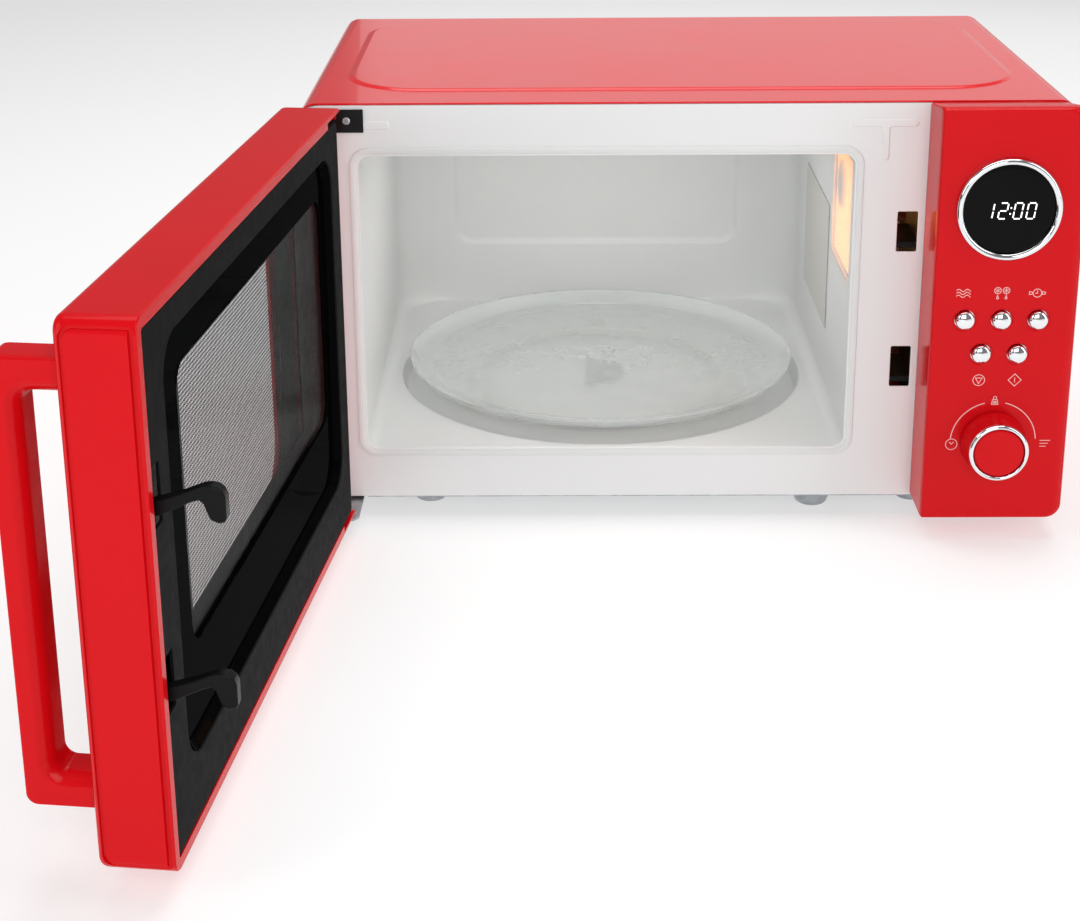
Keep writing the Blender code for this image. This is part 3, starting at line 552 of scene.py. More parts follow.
def tee(grow):
    """A T with round ends, seen from the front. grow widens it."""
    bar_low, bar_high, low = 0.2277 - grow, 0.2325 + grow, 0.2083 - grow
    left, right, stem0, stem1 = 0.0933 - grow, 0.1311 + grow, 0.1102 - grow, 0.1150 + grow
    r = 0.0014
    spots = [(right - r, bar_high), (left + r, bar_high), (left, bar_high - r), (left, bar_low + r)]
    spots += [(left + r, bar_low), (stem0 - 0.001, bar_low), (stem0, bar_low - 0.001)]
    spots += [(stem0, low + r), (stem0 + r * 0.5, low)]
    spots += [(stem1 - r * 0.5, low), (stem1, low + r), (stem1, bar_low - 0.001), (stem1 + 0.001, bar_low)]
    spots += [(right - r, bar_low), (right, bar_low + r), (right, bar_high - r)]
    return spots


piece("pressed_tee_right", pad(tee(0.0), 0.0, PRESSED, tee(-0.0008)), enamel, "cabinet")
print("plate pressings stand proud by", PRESSED, "m")

# %% [markdown]
# The cooking space is five CAD sheets that meet at hard corners. On the real one they read as a
# single drawn shell, with soft vertical corners at the back and a flared lip round the mouth. One
# loft from the lip to the rear wall gives all of it, with the rear wall's pressed panel as its
# last loops. The turntable's well is turned, and fills a round hole cut in the floor.


# %% Liner of the cooking space
def mouth(out, radius, drop=0.0):
    """The mouth's outline grown by out. drop keeps the floor from rising with it."""
    return rounded(MOUTH[0] - out, MOUTH[1] + out, MOUTH[2] - out + drop, MOUTH[3] + out, radius, 10)


lip = [
    (0.0052, -0.0001, 0.0115), (0.0048, -0.0008, 0.0111), (0.0036, -0.0011, 0.0100),
    (0.0018, -0.0008, 0.0085), (0.0005, 0.0004, 0.0074), (0.0, 0.0022, 0.0070), (0.0002, 0.0050, 0.0068),
    (0.0005, 0.0090, 0.0066),
]
loops = [level(mouth(out, radius), "y", y) for out, y, radius in lip]
loops.append(level(mouth(0.0005, 0.0085), "y", 0.200))
for k in range(9):
    turn = math.pi / 2 * k / 8
    inwards, back = 0.024 * (1 - math.cos(turn)), 0.2470 + 0.0242 * math.sin(turn)
    floor_drop = inwards - min(inwards, 0.003 * (1 - math.cos(turn)))
    side = rounded(
        MOUTH[0] - 0.0005 + inwards, MOUTH[1] + 0.0005 - inwards, MOUTH[2] - 0.0005 + inwards - floor_drop,
        MOUTH[3] + 0.0005 - inwards * 0.6, 0.0085 + inwards * 0.35, 10,
    )
    loops.append(level(side, "y", back))
for inset, y in ((0.0, 0.2712), (0.0012, 0.2716), (0.0028, 0.2736), (0.0045, 0.2742)):
    panel = rounded(-0.148 + inset, 0.057 - inset, 0.076 + inset, 0.194 - inset, 0.0135 - inset, 10)
    loops.append(level(panel, "y", y))
liner = thickened(raised_lid(loops), 0.0009, (0, -1, 0))
well_hole = rod(0.1312, (TRAY_X, TRAY_Y, 0.010), (TRAY_X, TRAY_Y, 0.045), 128)
lamp_window = block((0.080, 0.012, 0.131), (0.110, 0.084, 0.204), 0.0003)
clip_slots = [block((0.080, 0.2012, low), (0.110, 0.2042, low + 0.0175)) for low in (0.0951, 0.1283)]
liner = carved(liner, [well_hole, together([lamp_window] + clip_slots)])
walls = tuple(f"cavity_{side}" for side in ("left_wall", "right_wall", "roof", "rear_wall", "floor"))
piece("oven_liner", liner, oven_paint, "cabinet", walls, sharp=40)

under_well = WELL_FLOOR - 0.0009
well = [
    (0.1312, 0.0320), (0.1306, 0.0316), (0.1284, 0.0240), (0.1274, WELL_FLOOR), (0.0130, WELL_FLOOR),
    (0.0120, 0.0240), (0.0085, 0.0240), (0.0085, 0.0231), (0.0110, 0.0231), (0.0120, under_well),
    (0.1280, under_well), (0.1292, 0.0232), (0.1312, 0.0305),
]
piece(
    "turntable_well", turned(well, (TRAY_X, TRAY_Y, 0), segments=128, ends="ring"), oven_paint, "cabinet",
    sharp=40,
)
print("mouth", round(MOUTH[1] - MOUTH[0], 3), "x", round(MOUTH[3] - MOUTH[2], 4), "m")

# %% [markdown]
# ## Perforated sheet, by Geometry Nodes
# Two pieces are steel sheet with a square grid of small holes: the screen in the door that keeps
# the microwaves in, and the grille over the lamp. A node tree suits them, because one cell can be
# repeated on a grid of any size. The cell is a square with a hole, filled flat. All the cells are
# joined, given thickness by one extrusion, and closed with the flat sheet turned over. Real
# holes are about 1.6 mm apart. They are drawn 2 mm apart, the finest that keeps the piece light,
# in a sheet of 0.1 mm, so that the view through them stays clear at a flat angle.


# %% The tree for perforated sheet
def tree_with(name, inputs):
    """A node tree that gives a mesh, with these named inputs."""
    tree = bpy.data.node_groups.new(name, "GeometryNodeTree")
    tree.interface.new_socket("Geometry", in_out="OUTPUT", socket_type="NodeSocketGeometry")
    tree.interface.new_socket("Geometry", in_out="INPUT", socket_type="NodeSocketGeometry")
    for label, kind in inputs.items():
        tree.interface.new_socket(label, in_out="INPUT", socket_type="NodeSocket" + kind)
    return tree, add(tree, "NodeGroupInput").outputs, add(tree, "NodeGroupOutput").inputs


def calc(tree, operation, a, b):
    return add(tree, "ShaderNodeMath", {0: a, 1: b}, operation=operation).outputs[0]


def end_tree(tree, last, look, result):
    """Realises the instances, gives the mesh its finish and sends it out."""
    whole = add(tree, "GeometryNodeRealizeInstances", {0: last.outputs[0]})
    coated = add(tree, "GeometryNodeSetMaterial", {"Geometry": whole.outputs[0], "Material": look})
    tree.links.new(coated.outputs[0], result)


sheet_tree, given, result = tree_with(
    "perforated_sheet",
    {"Width": "Float", "Height": "Float", "Pitch": "Float", "Hole": "Float", "Thickness": "Float",
     "Centre": "Vector", "Turn": "Vector", "Finish": "Material"},
)
pitch = given["Pitch"]
square = add(sheet_tree, "GeometryNodeCurvePrimitiveQuadrilateral", {"Width": pitch, "Height": pitch})
hole = add(
    sheet_tree, "GeometryNodeCurvePrimitiveCircle",
    {"Resolution": 6, "Radius": calc(sheet_tree, "DIVIDE", given["Hole"], 2.0)},
)
outlines = add(sheet_tree, "GeometryNodeJoinGeometry")
sheet_tree.links.new(square.outputs[0], outlines.inputs[0])
sheet_tree.links.new(hole.outputs[0], outlines.inputs[0])
cell = add(sheet_tree, "GeometryNodeFillCurve", {"Curve": outlines.outputs[0]})
sides = {}
for side, way in (("Width", "X"), ("Height", "Y")):
    count = calc(sheet_tree, "ROUND", calc(sheet_tree, "DIVIDE", given[side], pitch), 0.0)
    sides["Size " + way] = calc(sheet_tree, "MULTIPLY", calc(sheet_tree, "SUBTRACT", count, 1.0), pitch)
    sides["Vertices " + way] = count
grid = add(sheet_tree, "GeometryNodeMeshGrid", sides)
cells = add(
    sheet_tree, "GeometryNodeInstanceOnPoints", {"Points": grid.outputs["Mesh"], "Instance": cell.outputs[0]}
)
flat = add(sheet_tree, "GeometryNodeRealizeInstances", {0: cells.outputs[0]})
flat = add(sheet_tree, "GeometryNodeMergeByDistance", {"Geometry": flat.outputs[0], "Distance": 1e-5})
thick = add(
    sheet_tree, "GeometryNodeExtrudeMesh",
    {"Mesh": flat.outputs[0], "Offset Scale": given["Thickness"], "Individual": False},
)
under = add(sheet_tree, "GeometryNodeFlipFaces", {"Mesh": flat.outputs[0]})
both = add(sheet_tree, "GeometryNodeJoinGeometry")
sheet_tree.links.new(thick.outputs["Mesh"], both.inputs[0])
sheet_tree.links.new(under.outputs[0], both.inputs[0])
closed_sheet = add(
    sheet_tree, "GeometryNodeMergeByDistance", {"Geometry": both.outputs[0], "Distance": 1e-5}
)
placed = add(
    sheet_tree, "GeometryNodeTransform",
    {"Geometry": closed_sheet.outputs[0], "Translation": given["Centre"], "Rotation": given["Turn"]},
)
end_tree(sheet_tree, placed, given["Finish"], result[0])
print("perforated_sheet tree:", len(sheet_tree.nodes), "nodes")

# %% [markdown]
# A tree becomes a plain mesh in one go. The modifier's inputs are set by their identifiers before
# the first evaluation, the result is taken with new_from_object, and the helper goes away.


# %% From a tree to a mesh
def grown(tree, values, points=()):
    """The mesh a tree makes from the given points and values."""
    base = bmesh.new()
    for point in points:
        base.verts.new(point)
    host = helper(base, "host")
    modifier = host.modifiers.new("tree", "NODES")
    modifier.node_group = tree
    for item in tree.interface.items_tree:
        if item.in_out == "INPUT" and item.name in values:
            modifier[item.identifier] = values[item.name]
    work = evaluated(host)
    bpy.data.objects.remove(host, do_unlink=True)
    return work


def perforated(width, height, hole_size, centre, turn, look):
    values = {"Width": width, "Height": height, "Pitch": 0.002, "Hole": hole_size, "Thickness": 0.0001}
    return grown(sheet_tree, {**values, "Centre": centre, "Turn": turn, "Finish": look})


GRILLE_AT, GRILLE_TURN = (0.0965, 0.048, 0.1675), (math.pi / 2, 0, math.pi / 2)
grille = perforated(0.072, 0.074, 0.0014, GRILLE_AT, GRILLE_TURN, oven_paint)
print("lamp grille faces:", len(grille.faces))
piece("lamp_grille", grille, oven_paint, "cabinet")
glow = rounded(0.0135, 0.0825, 0.1325, 0.2025, 0.004)
piece("lamp_diffuser", slab(glow, "x", 0.0985, 0.0992), lamp_glow, "cabinet")

# %% [markdown]
# ## Turntable
# The glass tray is turned from a profile with a raised rim and a foot ring underneath. Three lugs
# under its middle sit between the arms of the grey drive coupler, and turn it. The ring and its
# rollers lie in the well under it.

# %% Tray, coupler and roller ring
tray = [
    (0.0002, 0.0), (0.0300, 0.0), (0.0305, -0.0006), (0.0325, -0.0006), (0.0330, 0.0), (0.1085, 0.0),
    (0.1120, 0.0004), (0.1190, 0.0024), (0.1232, 0.0052), (0.1252, 0.0082), (0.1255, 0.0092),
    (0.1250, 0.0099), (0.1240, 0.0100), (0.1226, 0.0098), (0.1200, 0.0080), (0.1165, 0.0060),
    (0.1110, 0.0047), (0.1085, 0.0045), (0.0002, 0.0045),
]
tray_body = turned(tray, (TRAY_X, TRAY_Y, TRAY_LOW), segments=144)
lug_steps = (
    (0.0016, -0.0044), (0.0005, -0.0038), (0.0, 0.0), (0.0, 0.0044), (0.0008, 0.0062), (0.0018, 0.0066)
)
lugs = []
for k in range(3):
    lug = stacked(
        "z", [(rounded(0.0075 + s, 0.0165 - s, -0.0036 + s, 0.0036 - s, 0.0024, 5), z) for s, z in lug_steps]
    )
    lugs.append(moved(lug, TRAY_X, TRAY_Y, TRAY_LOW, 60 + 120 * k))
piece(
    "turntable_tray", carved(tray_body, [together(lugs)], "UNION"), tray_glass, "tray",
    ("glass_tray",), sharp=38,
)

hub = [(0.0065, -0.0155), (0.0065, -0.0020), (0.0058, -0.0010), (0.0035, -0.0004)]
coupler = turned(hub, (TRAY_X, TRAY_Y, TRAY_LOW), segments=64)
arm_steps = ((0.0004, 0.0244), (0.0, 0.0248), (0.0, 0.0332), (0.0005, 0.0338))
arms = []
for k in range(3):
    arm = stacked("z", [(rounded(s, 0.0152 - s, s - 0.0030, 0.0030 - s, 0.0022, 6), z) for s, z in arm_steps])
    arms.append(moved(arm, TRAY_X, TRAY_Y, 0, 120 * k))
piece(
    "drive_coupler_moulded", carved(coupler, arms, "UNION"), grey_plastic, "coupler",
    ("drive_coupler",),
)

ring_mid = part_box("roller_ring")
ring_z = (ring_mid[0].z + ring_mid[1].z) / 2
band = [
    (0.0790, -0.0016), (0.0796, -0.0022), (0.0844, -0.0022), (0.0850, -0.0016), (0.0850, 0.0016),
    (0.0844, 0.0022), (0.0796, 0.0022), (0.0790, 0.0016),
]
ring = turned(band, (TRAY_X, TRAY_Y, ring_z), ends="ring")
axles = []
for k in range(3):
    turn = math.radians(90 + 120 * k)
    out = Vector((math.cos(turn), math.sin(turn), 0))
    start = Vector((TRAY_X, TRAY_Y, ring_z))
    axles.append(rod(0.0014, start + out * 0.082, start + out * 0.0985, 24))
ring = carved(ring, [together(axles)], "UNION")
piece("roller_ring_moulded", ring, white_plastic, "roller_ring", ("roller_ring",))
print("tray 251 mm across, ring middle at", round(ring_z, 4))

# %% [markdown]
# ## Base
# The bottom plate has five feet drawn down out of the sheet. Each is a turned cup with a soft
# shoulder, joined to the plate with a Boolean union.

# %% Base plate with its drawn feet
foot_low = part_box("base_plate")[0].z
side = HALF - 0.0123
base = block((-side, 0.002, 0.0), (side, CASE_DEPTH - 0.003, SHEET))
feet, hollows = [], []
for x, y in ((0.081, 0.0225), (-0.152, 0.030), (0.143, 0.030), (-0.160, 0.228), (0.160, 0.228)):
    shoulder = [(0.0145, SHEET / 2), (0.0139, -0.0004), (0.0132, -0.0015), (0.0096, foot_low + 0.0008)]
    shoulder += [(0.0090, foot_low + 0.0002), (0.0082, foot_low)]
    hollow = [(0.0130, SHEET + 0.001), (0.0126, -0.0006), (0.0080, foot_low + SHEET)]
    feet.append(turned(shoulder, (x, y, 0), segments=48))
    hollows.append(turned(hollow, (x, y, 0), segments=48))
hinge_room = block((-side - 0.01, -0.01, -0.01), (-0.1885, 0.0325, 0.01))
base = carved(carved(base, [together(feet)], "UNION"), [together(hollows), hinge_room])
piece("base_with_feet", base, galvanised, "cabinet", ("base_plate",))
print("feet reach", round(foot_low, 4))

# %% [markdown]
# ## Control panel
# The panel is one red moulding, crisp on its left and top edges and rounded on its right. Its loft
# runs from the back edge to the front face, and the holes are cut after that. Each button sits in
# a shallow dish, which is a turned cutter wider than the hole behind it.

# %% Panel moulding
BUTTONS = {
    "power": (0.1558, 0.1244), "defrost": (0.1764, 0.1244), "timer": (0.1970, 0.1244),
    "stop": (0.1661, 0.1041), "start": (0.1867, 0.1041),
}


def panel_outline(inset, right_inset, top_drop=0.0):
    radii = tuple(max(r - inset * 0.5, 0.0006) for r in (0.009, 0.0016, 0.0016, 0.007))
    return rounded(
        PANEL_LEFT + inset, HALF - right_inset, FRONT_LOW + inset, FRONT_TOP - inset - top_drop, radii
    )


wall, drop = 0.002, 0.0045
stations = [
    (wall, wall, 0.0, FRONT + wall), (wall, wall, drop, -0.0006), (0.0, 0.0, drop, -0.0006),
    (0.0, 0.0, 0.0, FRONT + 0.0085), (0.0, 0.0003, 0.0, FRONT + 0.0062), (0.0, 0.0011, 0.0, FRONT + 0.0040),
    (0.0002, 0.0024, 0.0, FRONT + 0.0020), (0.0005, 0.0042, 0.0, FRONT + 0.0008),
    (0.0010, 0.0064, 0.0, FRONT + 0.0001), (0.0013, 0.0078, 0.0, FRONT),
]
moulding = loft([level(panel_outline(a, b, c), "y", y) for a, b, c, y in stations])
forward = (0, -1, 0)
cutters = [rod(0.0258, (DISPLAY[0], -0.06, DISPLAY[1]), (DISPLAY[0], -0.02, DISPLAY[1]), 96)]
for x, z in BUTTONS.values():
    dish = [(0.0058, -0.010), (0.0058, -0.0008), (0.0064, -0.0004), (0.0072, 0.0), (0.0074, 0.004)]
    cutters.append(turned(dish, (x, FRONT, z), forward, 56))
cutters.append(rod(0.0042, (DIAL[0], -0.06, DIAL[1]), (DIAL[0], -0.02, DIAL[1])))
piece(
    "panel_moulding", carved(moulding, [together(cutters)]), red_plastic, "cabinet",
    ("control_panel",), sharp=28,
)

# %% [markdown]
# The display is a domed black lens in a chrome ring. The buttons are chrome domes, each on its
# own body so that it can be pressed. The dial has a red skirt and cap with a chrome band between.

# %% Display ring, buttons and dial
display_at, dial_at = (DISPLAY[0], FRONT, DISPLAY[1]), (DIAL[0], FRONT, DIAL[1])
bezel = [
    (0.0254, 0.0003), (0.0294, 0.0003), (0.0295, 0.0012), (0.0293, 0.0022), (0.0288, 0.0030),
    (0.0281, 0.0035), (0.0273, 0.0036), (0.0265, 0.0033), (0.0258, 0.0027), (0.0254, 0.0019),
]
bezel = turned(bezel, display_at, forward, ends="ring")
piece("display_ring", bezel, chrome, "cabinet", ("display_bezel",), sharp=50)
lens = [
    (0.0252, -0.0020), (0.0252, 0.0012), (0.0230, 0.0014), (0.0150, 0.0017), (0.0060, 0.0019),
    (0.0004, 0.0019),
]
lens = turned(lens, display_at, forward)
piece("display_glass", lens, gloss_black, "cabinet", ("display_lens",))
dome = [
    (0.0026, -0.0215), (0.0026, -0.0045), (0.0068, -0.0045), (0.0068, -0.0025), (0.0054, -0.0025),
    (0.0054, 0.0008), (0.0053, 0.0014), (0.0049, 0.0020), (0.0041, 0.0026), (0.0030, 0.0030),
    (0.0016, 0.0033), (0.0003, 0.0034),
]
for name, (x, z) in BUTTONS.items():
    button, body = turned(dome, (x, FRONT, z), forward, 56), f"button_{name}"
    piece(f"{name}_button_dome", button, chrome, body, (body,), sharp=45)
skirt = [
    (0.0030, -0.0060), (0.0030, 0.0012), (0.0184, 0.0012), (0.0187, 0.0016), (0.0187, 0.0026),
    (0.0183, 0.0040), (0.0176, 0.0062), (0.0169, 0.0110), (0.0166, 0.0146), (0.0154, 0.0146),
    (0.0154, 0.0130),
]
skirt = turned(skirt, dial_at, forward)
piece("dial_skirt", skirt, red_plastic, "dial", ("dial_knob",), sharp=40)
band = [
    (0.0155, 0.0132), (0.0155, 0.0148), (0.0168, 0.0148), (0.0170, 0.0154), (0.0170, 0.0166),
    (0.0166, 0.0176), (0.0158, 0.0182), (0.0150, 0.0181), (0.0144, 0.0174), (0.0143, 0.0150),
]
piece("dial_chrome_band", turned(band, dial_at, forward, ends="ring"), chrome, "dial", sharp=50)
cap = [
    (0.0141, 0.0150), (0.0141, 0.0170), (0.0138, 0.0175), (0.0128, 0.0178), (0.0080, 0.0181),
    (0.0004, 0.0182),
]
cap = turned(cap, dial_at, forward)
piece("dial_face", cap, red_plastic, "dial", ("dial_cap",), sharp=40)
print("buttons:", ", ".join(BUTTONS))

# %% [markdown]
# The printed marks are thin ribbons of ink 0.35 mm wide, laid on the face. A ribbon follows a
# line of points with its own width on each side, mitred at the corners. The clock digits are seven
# short bars each, leaning over a little, as on any lit segment display.


# %% Printed marks and lit digits
def ribbon(points, width, y, closed=False, height=0.00012):
    """A flat ribbon along points (x, z) on a face that looks to -Y."""
    count = len(points)
    left, right = [], []
    for k, point in enumerate(points):
        before = Vector(points[k - 1]) if k or closed else None
        after = Vector(points[(k + 1) % count]) if k < count - 1 or closed else None
        here = Vector(point)
        ways = [(here - before).normalized()] if before is not None else []
        ways += [(after - here).normalized()] if after is not None else []
        along = sum(ways, Vector((0, 0))).normalized()
        side = Vector((-along.y, along.x))
        reach = width / 2 / max(0.4, abs(side.dot(Vector((-ways[0].y, ways[0].x)))))
        left.append(here + side * reach)
        right.append(here - side * reach)
    work = bmesh.new()
    corners = ((left, y), (right, y), (right, y - height), (left, y - height))
    lines = [[work.verts.new((p.x, depth, p.y)) for p in edge] for edge, depth in corners]
    for k in range(count if closed else count - 1):
        n = (k + 1) % count
        for a, b in zip(lines, lines[1:] + lines[:1]):
            work.faces.new((a[k], a[n], b[n], b[k]))
    if not closed:
        work.faces.new([line[0] for line in lines])
        work.faces.new([line[-1] for line in lines])
    return work


def arc(x, z, radius, start, end, steps=28):
    spots = [math.radians(start + (end - start) * k / steps) for k in range(steps + 1)]
    return [(x + radius * math.cos(s), z + radius * math.sin(s)) for s in spots]


def ring_mark(x, z, radius, width):
    return ribbon(arc(x, z, radius, 0, 360)[:-1], width, INK_AT, True)


INK_AT, PEN = FRONT - 0.00002, 0.00038


def pen(*points, closed=False):
    return ribbon(list(points), PEN, INK_AT, closed)


marks = []
for k in range(3):
    z = 0.1388 + 0.0017 * k
    wave = [(0.1500 + 0.0080 * j / 20, z + 0.0007 * math.sin(2 * math.pi * j / 12)) for j in range(21)]
    marks.append(ribbon(wave, PEN, INK_AT))
for x in (0.1731, 0.1779):
    marks.append(ring_mark(x, 0.1420, 0.0019, 0.0003))
    for k in range(3):
        turn = math.radians(60 * k + 30)
        way = Vector((math.cos(turn), math.sin(turn))) * 0.0021
        spoke = [(x - way.x, 0.1420 - way.y), (x + way.x, 0.1420 + way.y)]
        marks.append(ribbon(spoke, 0.0003, INK_AT - 0.00002 * (k + 1)))
    drop_line = arc(x, 0.1377, 0.0006, 200, 340, 10) + [(x, 0.1392)]
    marks.append(ribbon(drop_line, 0.0004, INK_AT, True))
marks.append(ring_mark(0.1953, 0.1405, 0.0024, PEN))
marks.append(pen((0.1953, 0.1421), (0.1953, 0.1404), (0.1942, 0.1404)))
for side in (-1, 1):
    near, far = 0.1953 + side * 0.0036 - 0.0009, 0.1953 + side * 0.0036 + 0.0009
    marks.append(pen((near, 0.1396), (far, 0.1400), (far, 0.1410), (near, 0.1414), closed=True))
marks.append(ring_mark(0.1657, 0.0884, 0.0033, PEN))
marks.append(pen((0.1638, 0.0897), (0.1676, 0.0897), (0.1657, 0.0863), closed=True))
marks.append(pen((0.1861, 0.0921), (0.1898, 0.0884), (0.1861, 0.0847), (0.1824, 0.0884), closed=True))
marks.append(pen((0.1861, 0.0898), (0.1861, 0.0870)))
marks.append(ring_mark(0.1524, 0.0490, 0.0033, PEN))
marks.append(pen((0.1512, 0.0504), (0.1524, 0.0490), (0.1536, 0.0504)))
marks.append(ring_mark(0.1757, 0.0775, 0.0009, PEN))
marks.append(pen((0.1743, 0.0764), (0.1771, 0.0764), (0.1776, 0.0735), (0.1738, 0.0735), closed=True))
for k in range(3):
    marks.append(pen((0.1745, 0.0742 + 0.0006 * k), (0.1769, 0.0742 + 0.0006 * k)))
for k in range(3):
    width = 0.0060 - 0.0012 * k
    marks.append(pen((0.2030, 0.0512 - 0.0018 * k), (0.2030 + width, 0.0512 - 0.0018 * k)))
for start, end in ((176, 104), (76, 4)):
    marks.append(ribbon(arc(DIAL[0], DIAL[1], 0.0244, start, end), 0.0005, INK_AT))
piece("panel_printed_marks", together(marks), mark_ink, "cabinet", closed=False)

SEGMENTS = {"0": "abcdef", "1": "bc", "2": "abged"}
LEAN, TALL, WIDE = 0.14, 0.0090, 0.0044


def digit(text, x, z, y):
    """The lit bars of one digit whose lower left corner is at (x, z)."""
    half = TALL / 2
    ends = {
        "a": ((0, TALL), (WIDE, TALL)), "b": ((WIDE, TALL), (WIDE, half)), "c": ((WIDE, half), (WIDE, 0)),
        "d": ((0, 0), (WIDE, 0)), "e": ((0, half), (0, 0)), "f": ((0, TALL), (0, half)),
        "g": ((0, half), (WIDE, half)),
    }
    bars = []
    for name in SEGMENTS[text]:
        start, end = (Vector(point) for point in ends[name])
        way = (end - start).normalized() * 0.0005
        line = [(x + p.x + LEAN * p.y, z + p.y) for p in (start + way, end - way)]
        bars.append(ribbon(line, 0.00075, y, height=0.0001))
    return bars


LIT_AT = FRONT - 0.00195
bars = []
left, low = DISPLAY[0] - 0.0132, DISPLAY[1] - 0.0050
for text, at in (("1", -0.0010), ("2", 0.0067), ("0", 0.0150), ("0", 0.0222)):
    bars += digit(text, left + at, low, LIT_AT)
for z in (0.0028, 0.0062):
    dot = (left + 0.0130 + LEAN * z, LIT_AT, low + z)
    bars.append(turned([(0.0005, 0.0), (0.0005, 0.0001)], dot, forward, 16))
piece("display_digits", together(bars), digit_glow, "cabinet", closed=False)
print("ink marks:", len(marks), "lit bars:", len(bars))

# %% [markdown]
# ## Door
# The shell is a tray-like moulding with a window in its front. The loft goes round it as a ring,
# from the lip at the back, inside, out through the window and round the front edge. The free end
# has a flat panel outlined by a groove, which is a thin cutter with sloping sides.


# %% Door shell
def shell_outline(inset):
    radii = tuple(max(r - inset, 0.0006) for r in (0.007, 0.003, 0.003, 0.007))
    return rounded(-HALF + inset, DOOR_RIGHT - inset, FRONT_LOW + inset, FRONT_TOP - inset, radii)


window = rounded(-0.1735, 0.0835, 0.0445, 0.2055, 0.0235)
lip = shell_outline(0.0055)
inside = shell_outline(wall)
steps = [(lip, DOOR_BACK), (lip, DOOR_BACK - wall), (inside, DOOR_BACK - wall), (inside, FRONT + wall)]
steps += [(window, FRONT + wall), (window, FRONT)]
front_edge = (
    (0.0034, 0.0), (0.0022, 0.0003), (0.0012, 0.0010), (0.0005, 0.0020), (0.0001, 0.0032), (0.0, 0.0046)
)
steps += [(shell_outline(inset), FRONT + y) for inset, y in front_edge]
steps += [(shell_outline(0.0), DOOR_BACK - 0.0006), (shell_outline(0.0006), DOOR_BACK)]


def end_line(grow):
    """The outline of the free end's groove, in Y and Z."""
    front, back = 0.0052 + grow, 0.0014 + grow
    return rounded(-0.0322 - grow, -0.0044 + grow, 0.0058 - grow, 0.2427 + grow, (back, front, front, back))


GROOVE_DEPTH = 0.0013
groove_walls = ((0.0012, 0.0003), (0.0006, -GROOVE_DEPTH), (-0.0006, -GROOVE_DEPTH), (-0.0012, 0.0003))
groove = stacked("x", [(end_line(grow), DOOR_RIGHT + x) for grow, x in groove_walls], "ring")
hinge_cuts = [
    block((-0.225, DOOR_BACK - wall - 0.0003, FRONT_LOW + wall), (-0.190, 0.010, FRONT_TOP - wall)),
    block((-0.225, PIN.y - 0.0046, 0.2345), (PIN.x + 0.0050, 0.010, 0.2400)),
]
pin_holes = [rod(0.0019, (PIN.x, PIN.y, a), (PIN.x, PIN.y, b)) for a, b in ((-0.01, 0.0125), (0.228, 0.2447))]
shell = carved(stacked("y", steps, "ring"), hinge_cuts + [together(pin_holes), groove])
piece("door_moulding", shell, red_plastic, "door", ("door_shell",), sharp=26)
print("groove round the door's end is", GROOVE_DEPTH, "m deep")

# %% [markdown]
# Inside, a textured black cover screws over the back of the door. Its middle is pressed in and
# polished, in one slope down to a flat ledge round the window. Two finishes meet at the top of
# the slope, so this is two pieces. A thin bright line where they meet is the eased edge itself.

# %% Inner cover, its polished recess and its window
BACK_FACE, LEDGE = DOOR_BACK - 0.0003, 0.0040
cover_edge = (-0.2120, DOOR_RIGHT - 0.0058, 0.0078, 0.2407)
recess_edge = (-0.1940, 0.1070, 0.0360, 0.2268)


def inset_by(inset, a0, a1, b0, b1, radius):
    """A rectangle's outline drawn in on all sides, with round corners of that radius."""
    return rounded(a0 + inset, a1 - inset, b0 + inset, b1 - inset, radius, 12)


cover, recess = inset_by(0.0, *cover_edge, 0.003), inset_by(0.0, *recess_edge, 0.018)
frame_steps = [
    (cover, 0.0015), (cover, 0.0005), (inset_by(0.0005, *cover_edge, 0.0028), 0.0),
    (inset_by(-0.0006, *recess_edge, 0.0186), 0.0), (recess, 0.0006), (recess, 0.0015),
]
rim = stacked("y", [(outline, BACK_FACE - depth) for outline, depth in frame_steps], "ring")
hook_left, hook_right = HOOK_X - 0.0048, HOOK_X + 0.0043
slots = [
    block((hook_left, -0.02, low), (hook_right, 0.01, high), 0.0008)
    for low, high in ((0.1570, 0.1830), (0.0745, 0.1005))
]
piece(
    "inner_cover_textured", carved(rim, [together(slots)]), black_textured, "door",
    ("door_inner_cover",), edge=0.0002,
)
opening = rounded(-0.1800, 0.0800, 0.0780, 0.2060, 0.0120, 12)
slope_steps = [
    (recess, 0.0007), (inset_by(0.0004, *recess_edge, 0.0178), 0.0010),
    (inset_by(0.0032, *recess_edge, 0.0156), 0.0036), (inset_by(0.0040, *recess_edge, 0.0150), LEDGE),
    (rounded(-0.1804, 0.0804, 0.0776, 0.2064, 0.0124, 12), LEDGE), (opening, 0.0044), (opening, 0.0055),
    (inset_by(0.0025, *recess_edge, 0.0160), 0.0055), (recess, 0.0022),
]
slope = stacked("y", [(outline, BACK_FACE - depth) for outline, depth in slope_steps], "ring")
piece("inner_cover_recess", slope, recess_black, "door", sharp=24)
pane = slab(rounded(-0.186, 0.086, 0.072, 0.212, 0.006), "y", -0.0085, -0.0079)
piece("inner_window_film", pane, window_film, "door", ("door_inner_window",))
print("recess slopes in by", LEDGE, "m")

# %% [markdown]
# Behind the window is the steel screen that stops the microwaves. Its pan is plain black-painted
# steel, and the perforated field in it comes from the same tree as the lamp grille. A black border
# behind the front glass hides the red moulding round it.

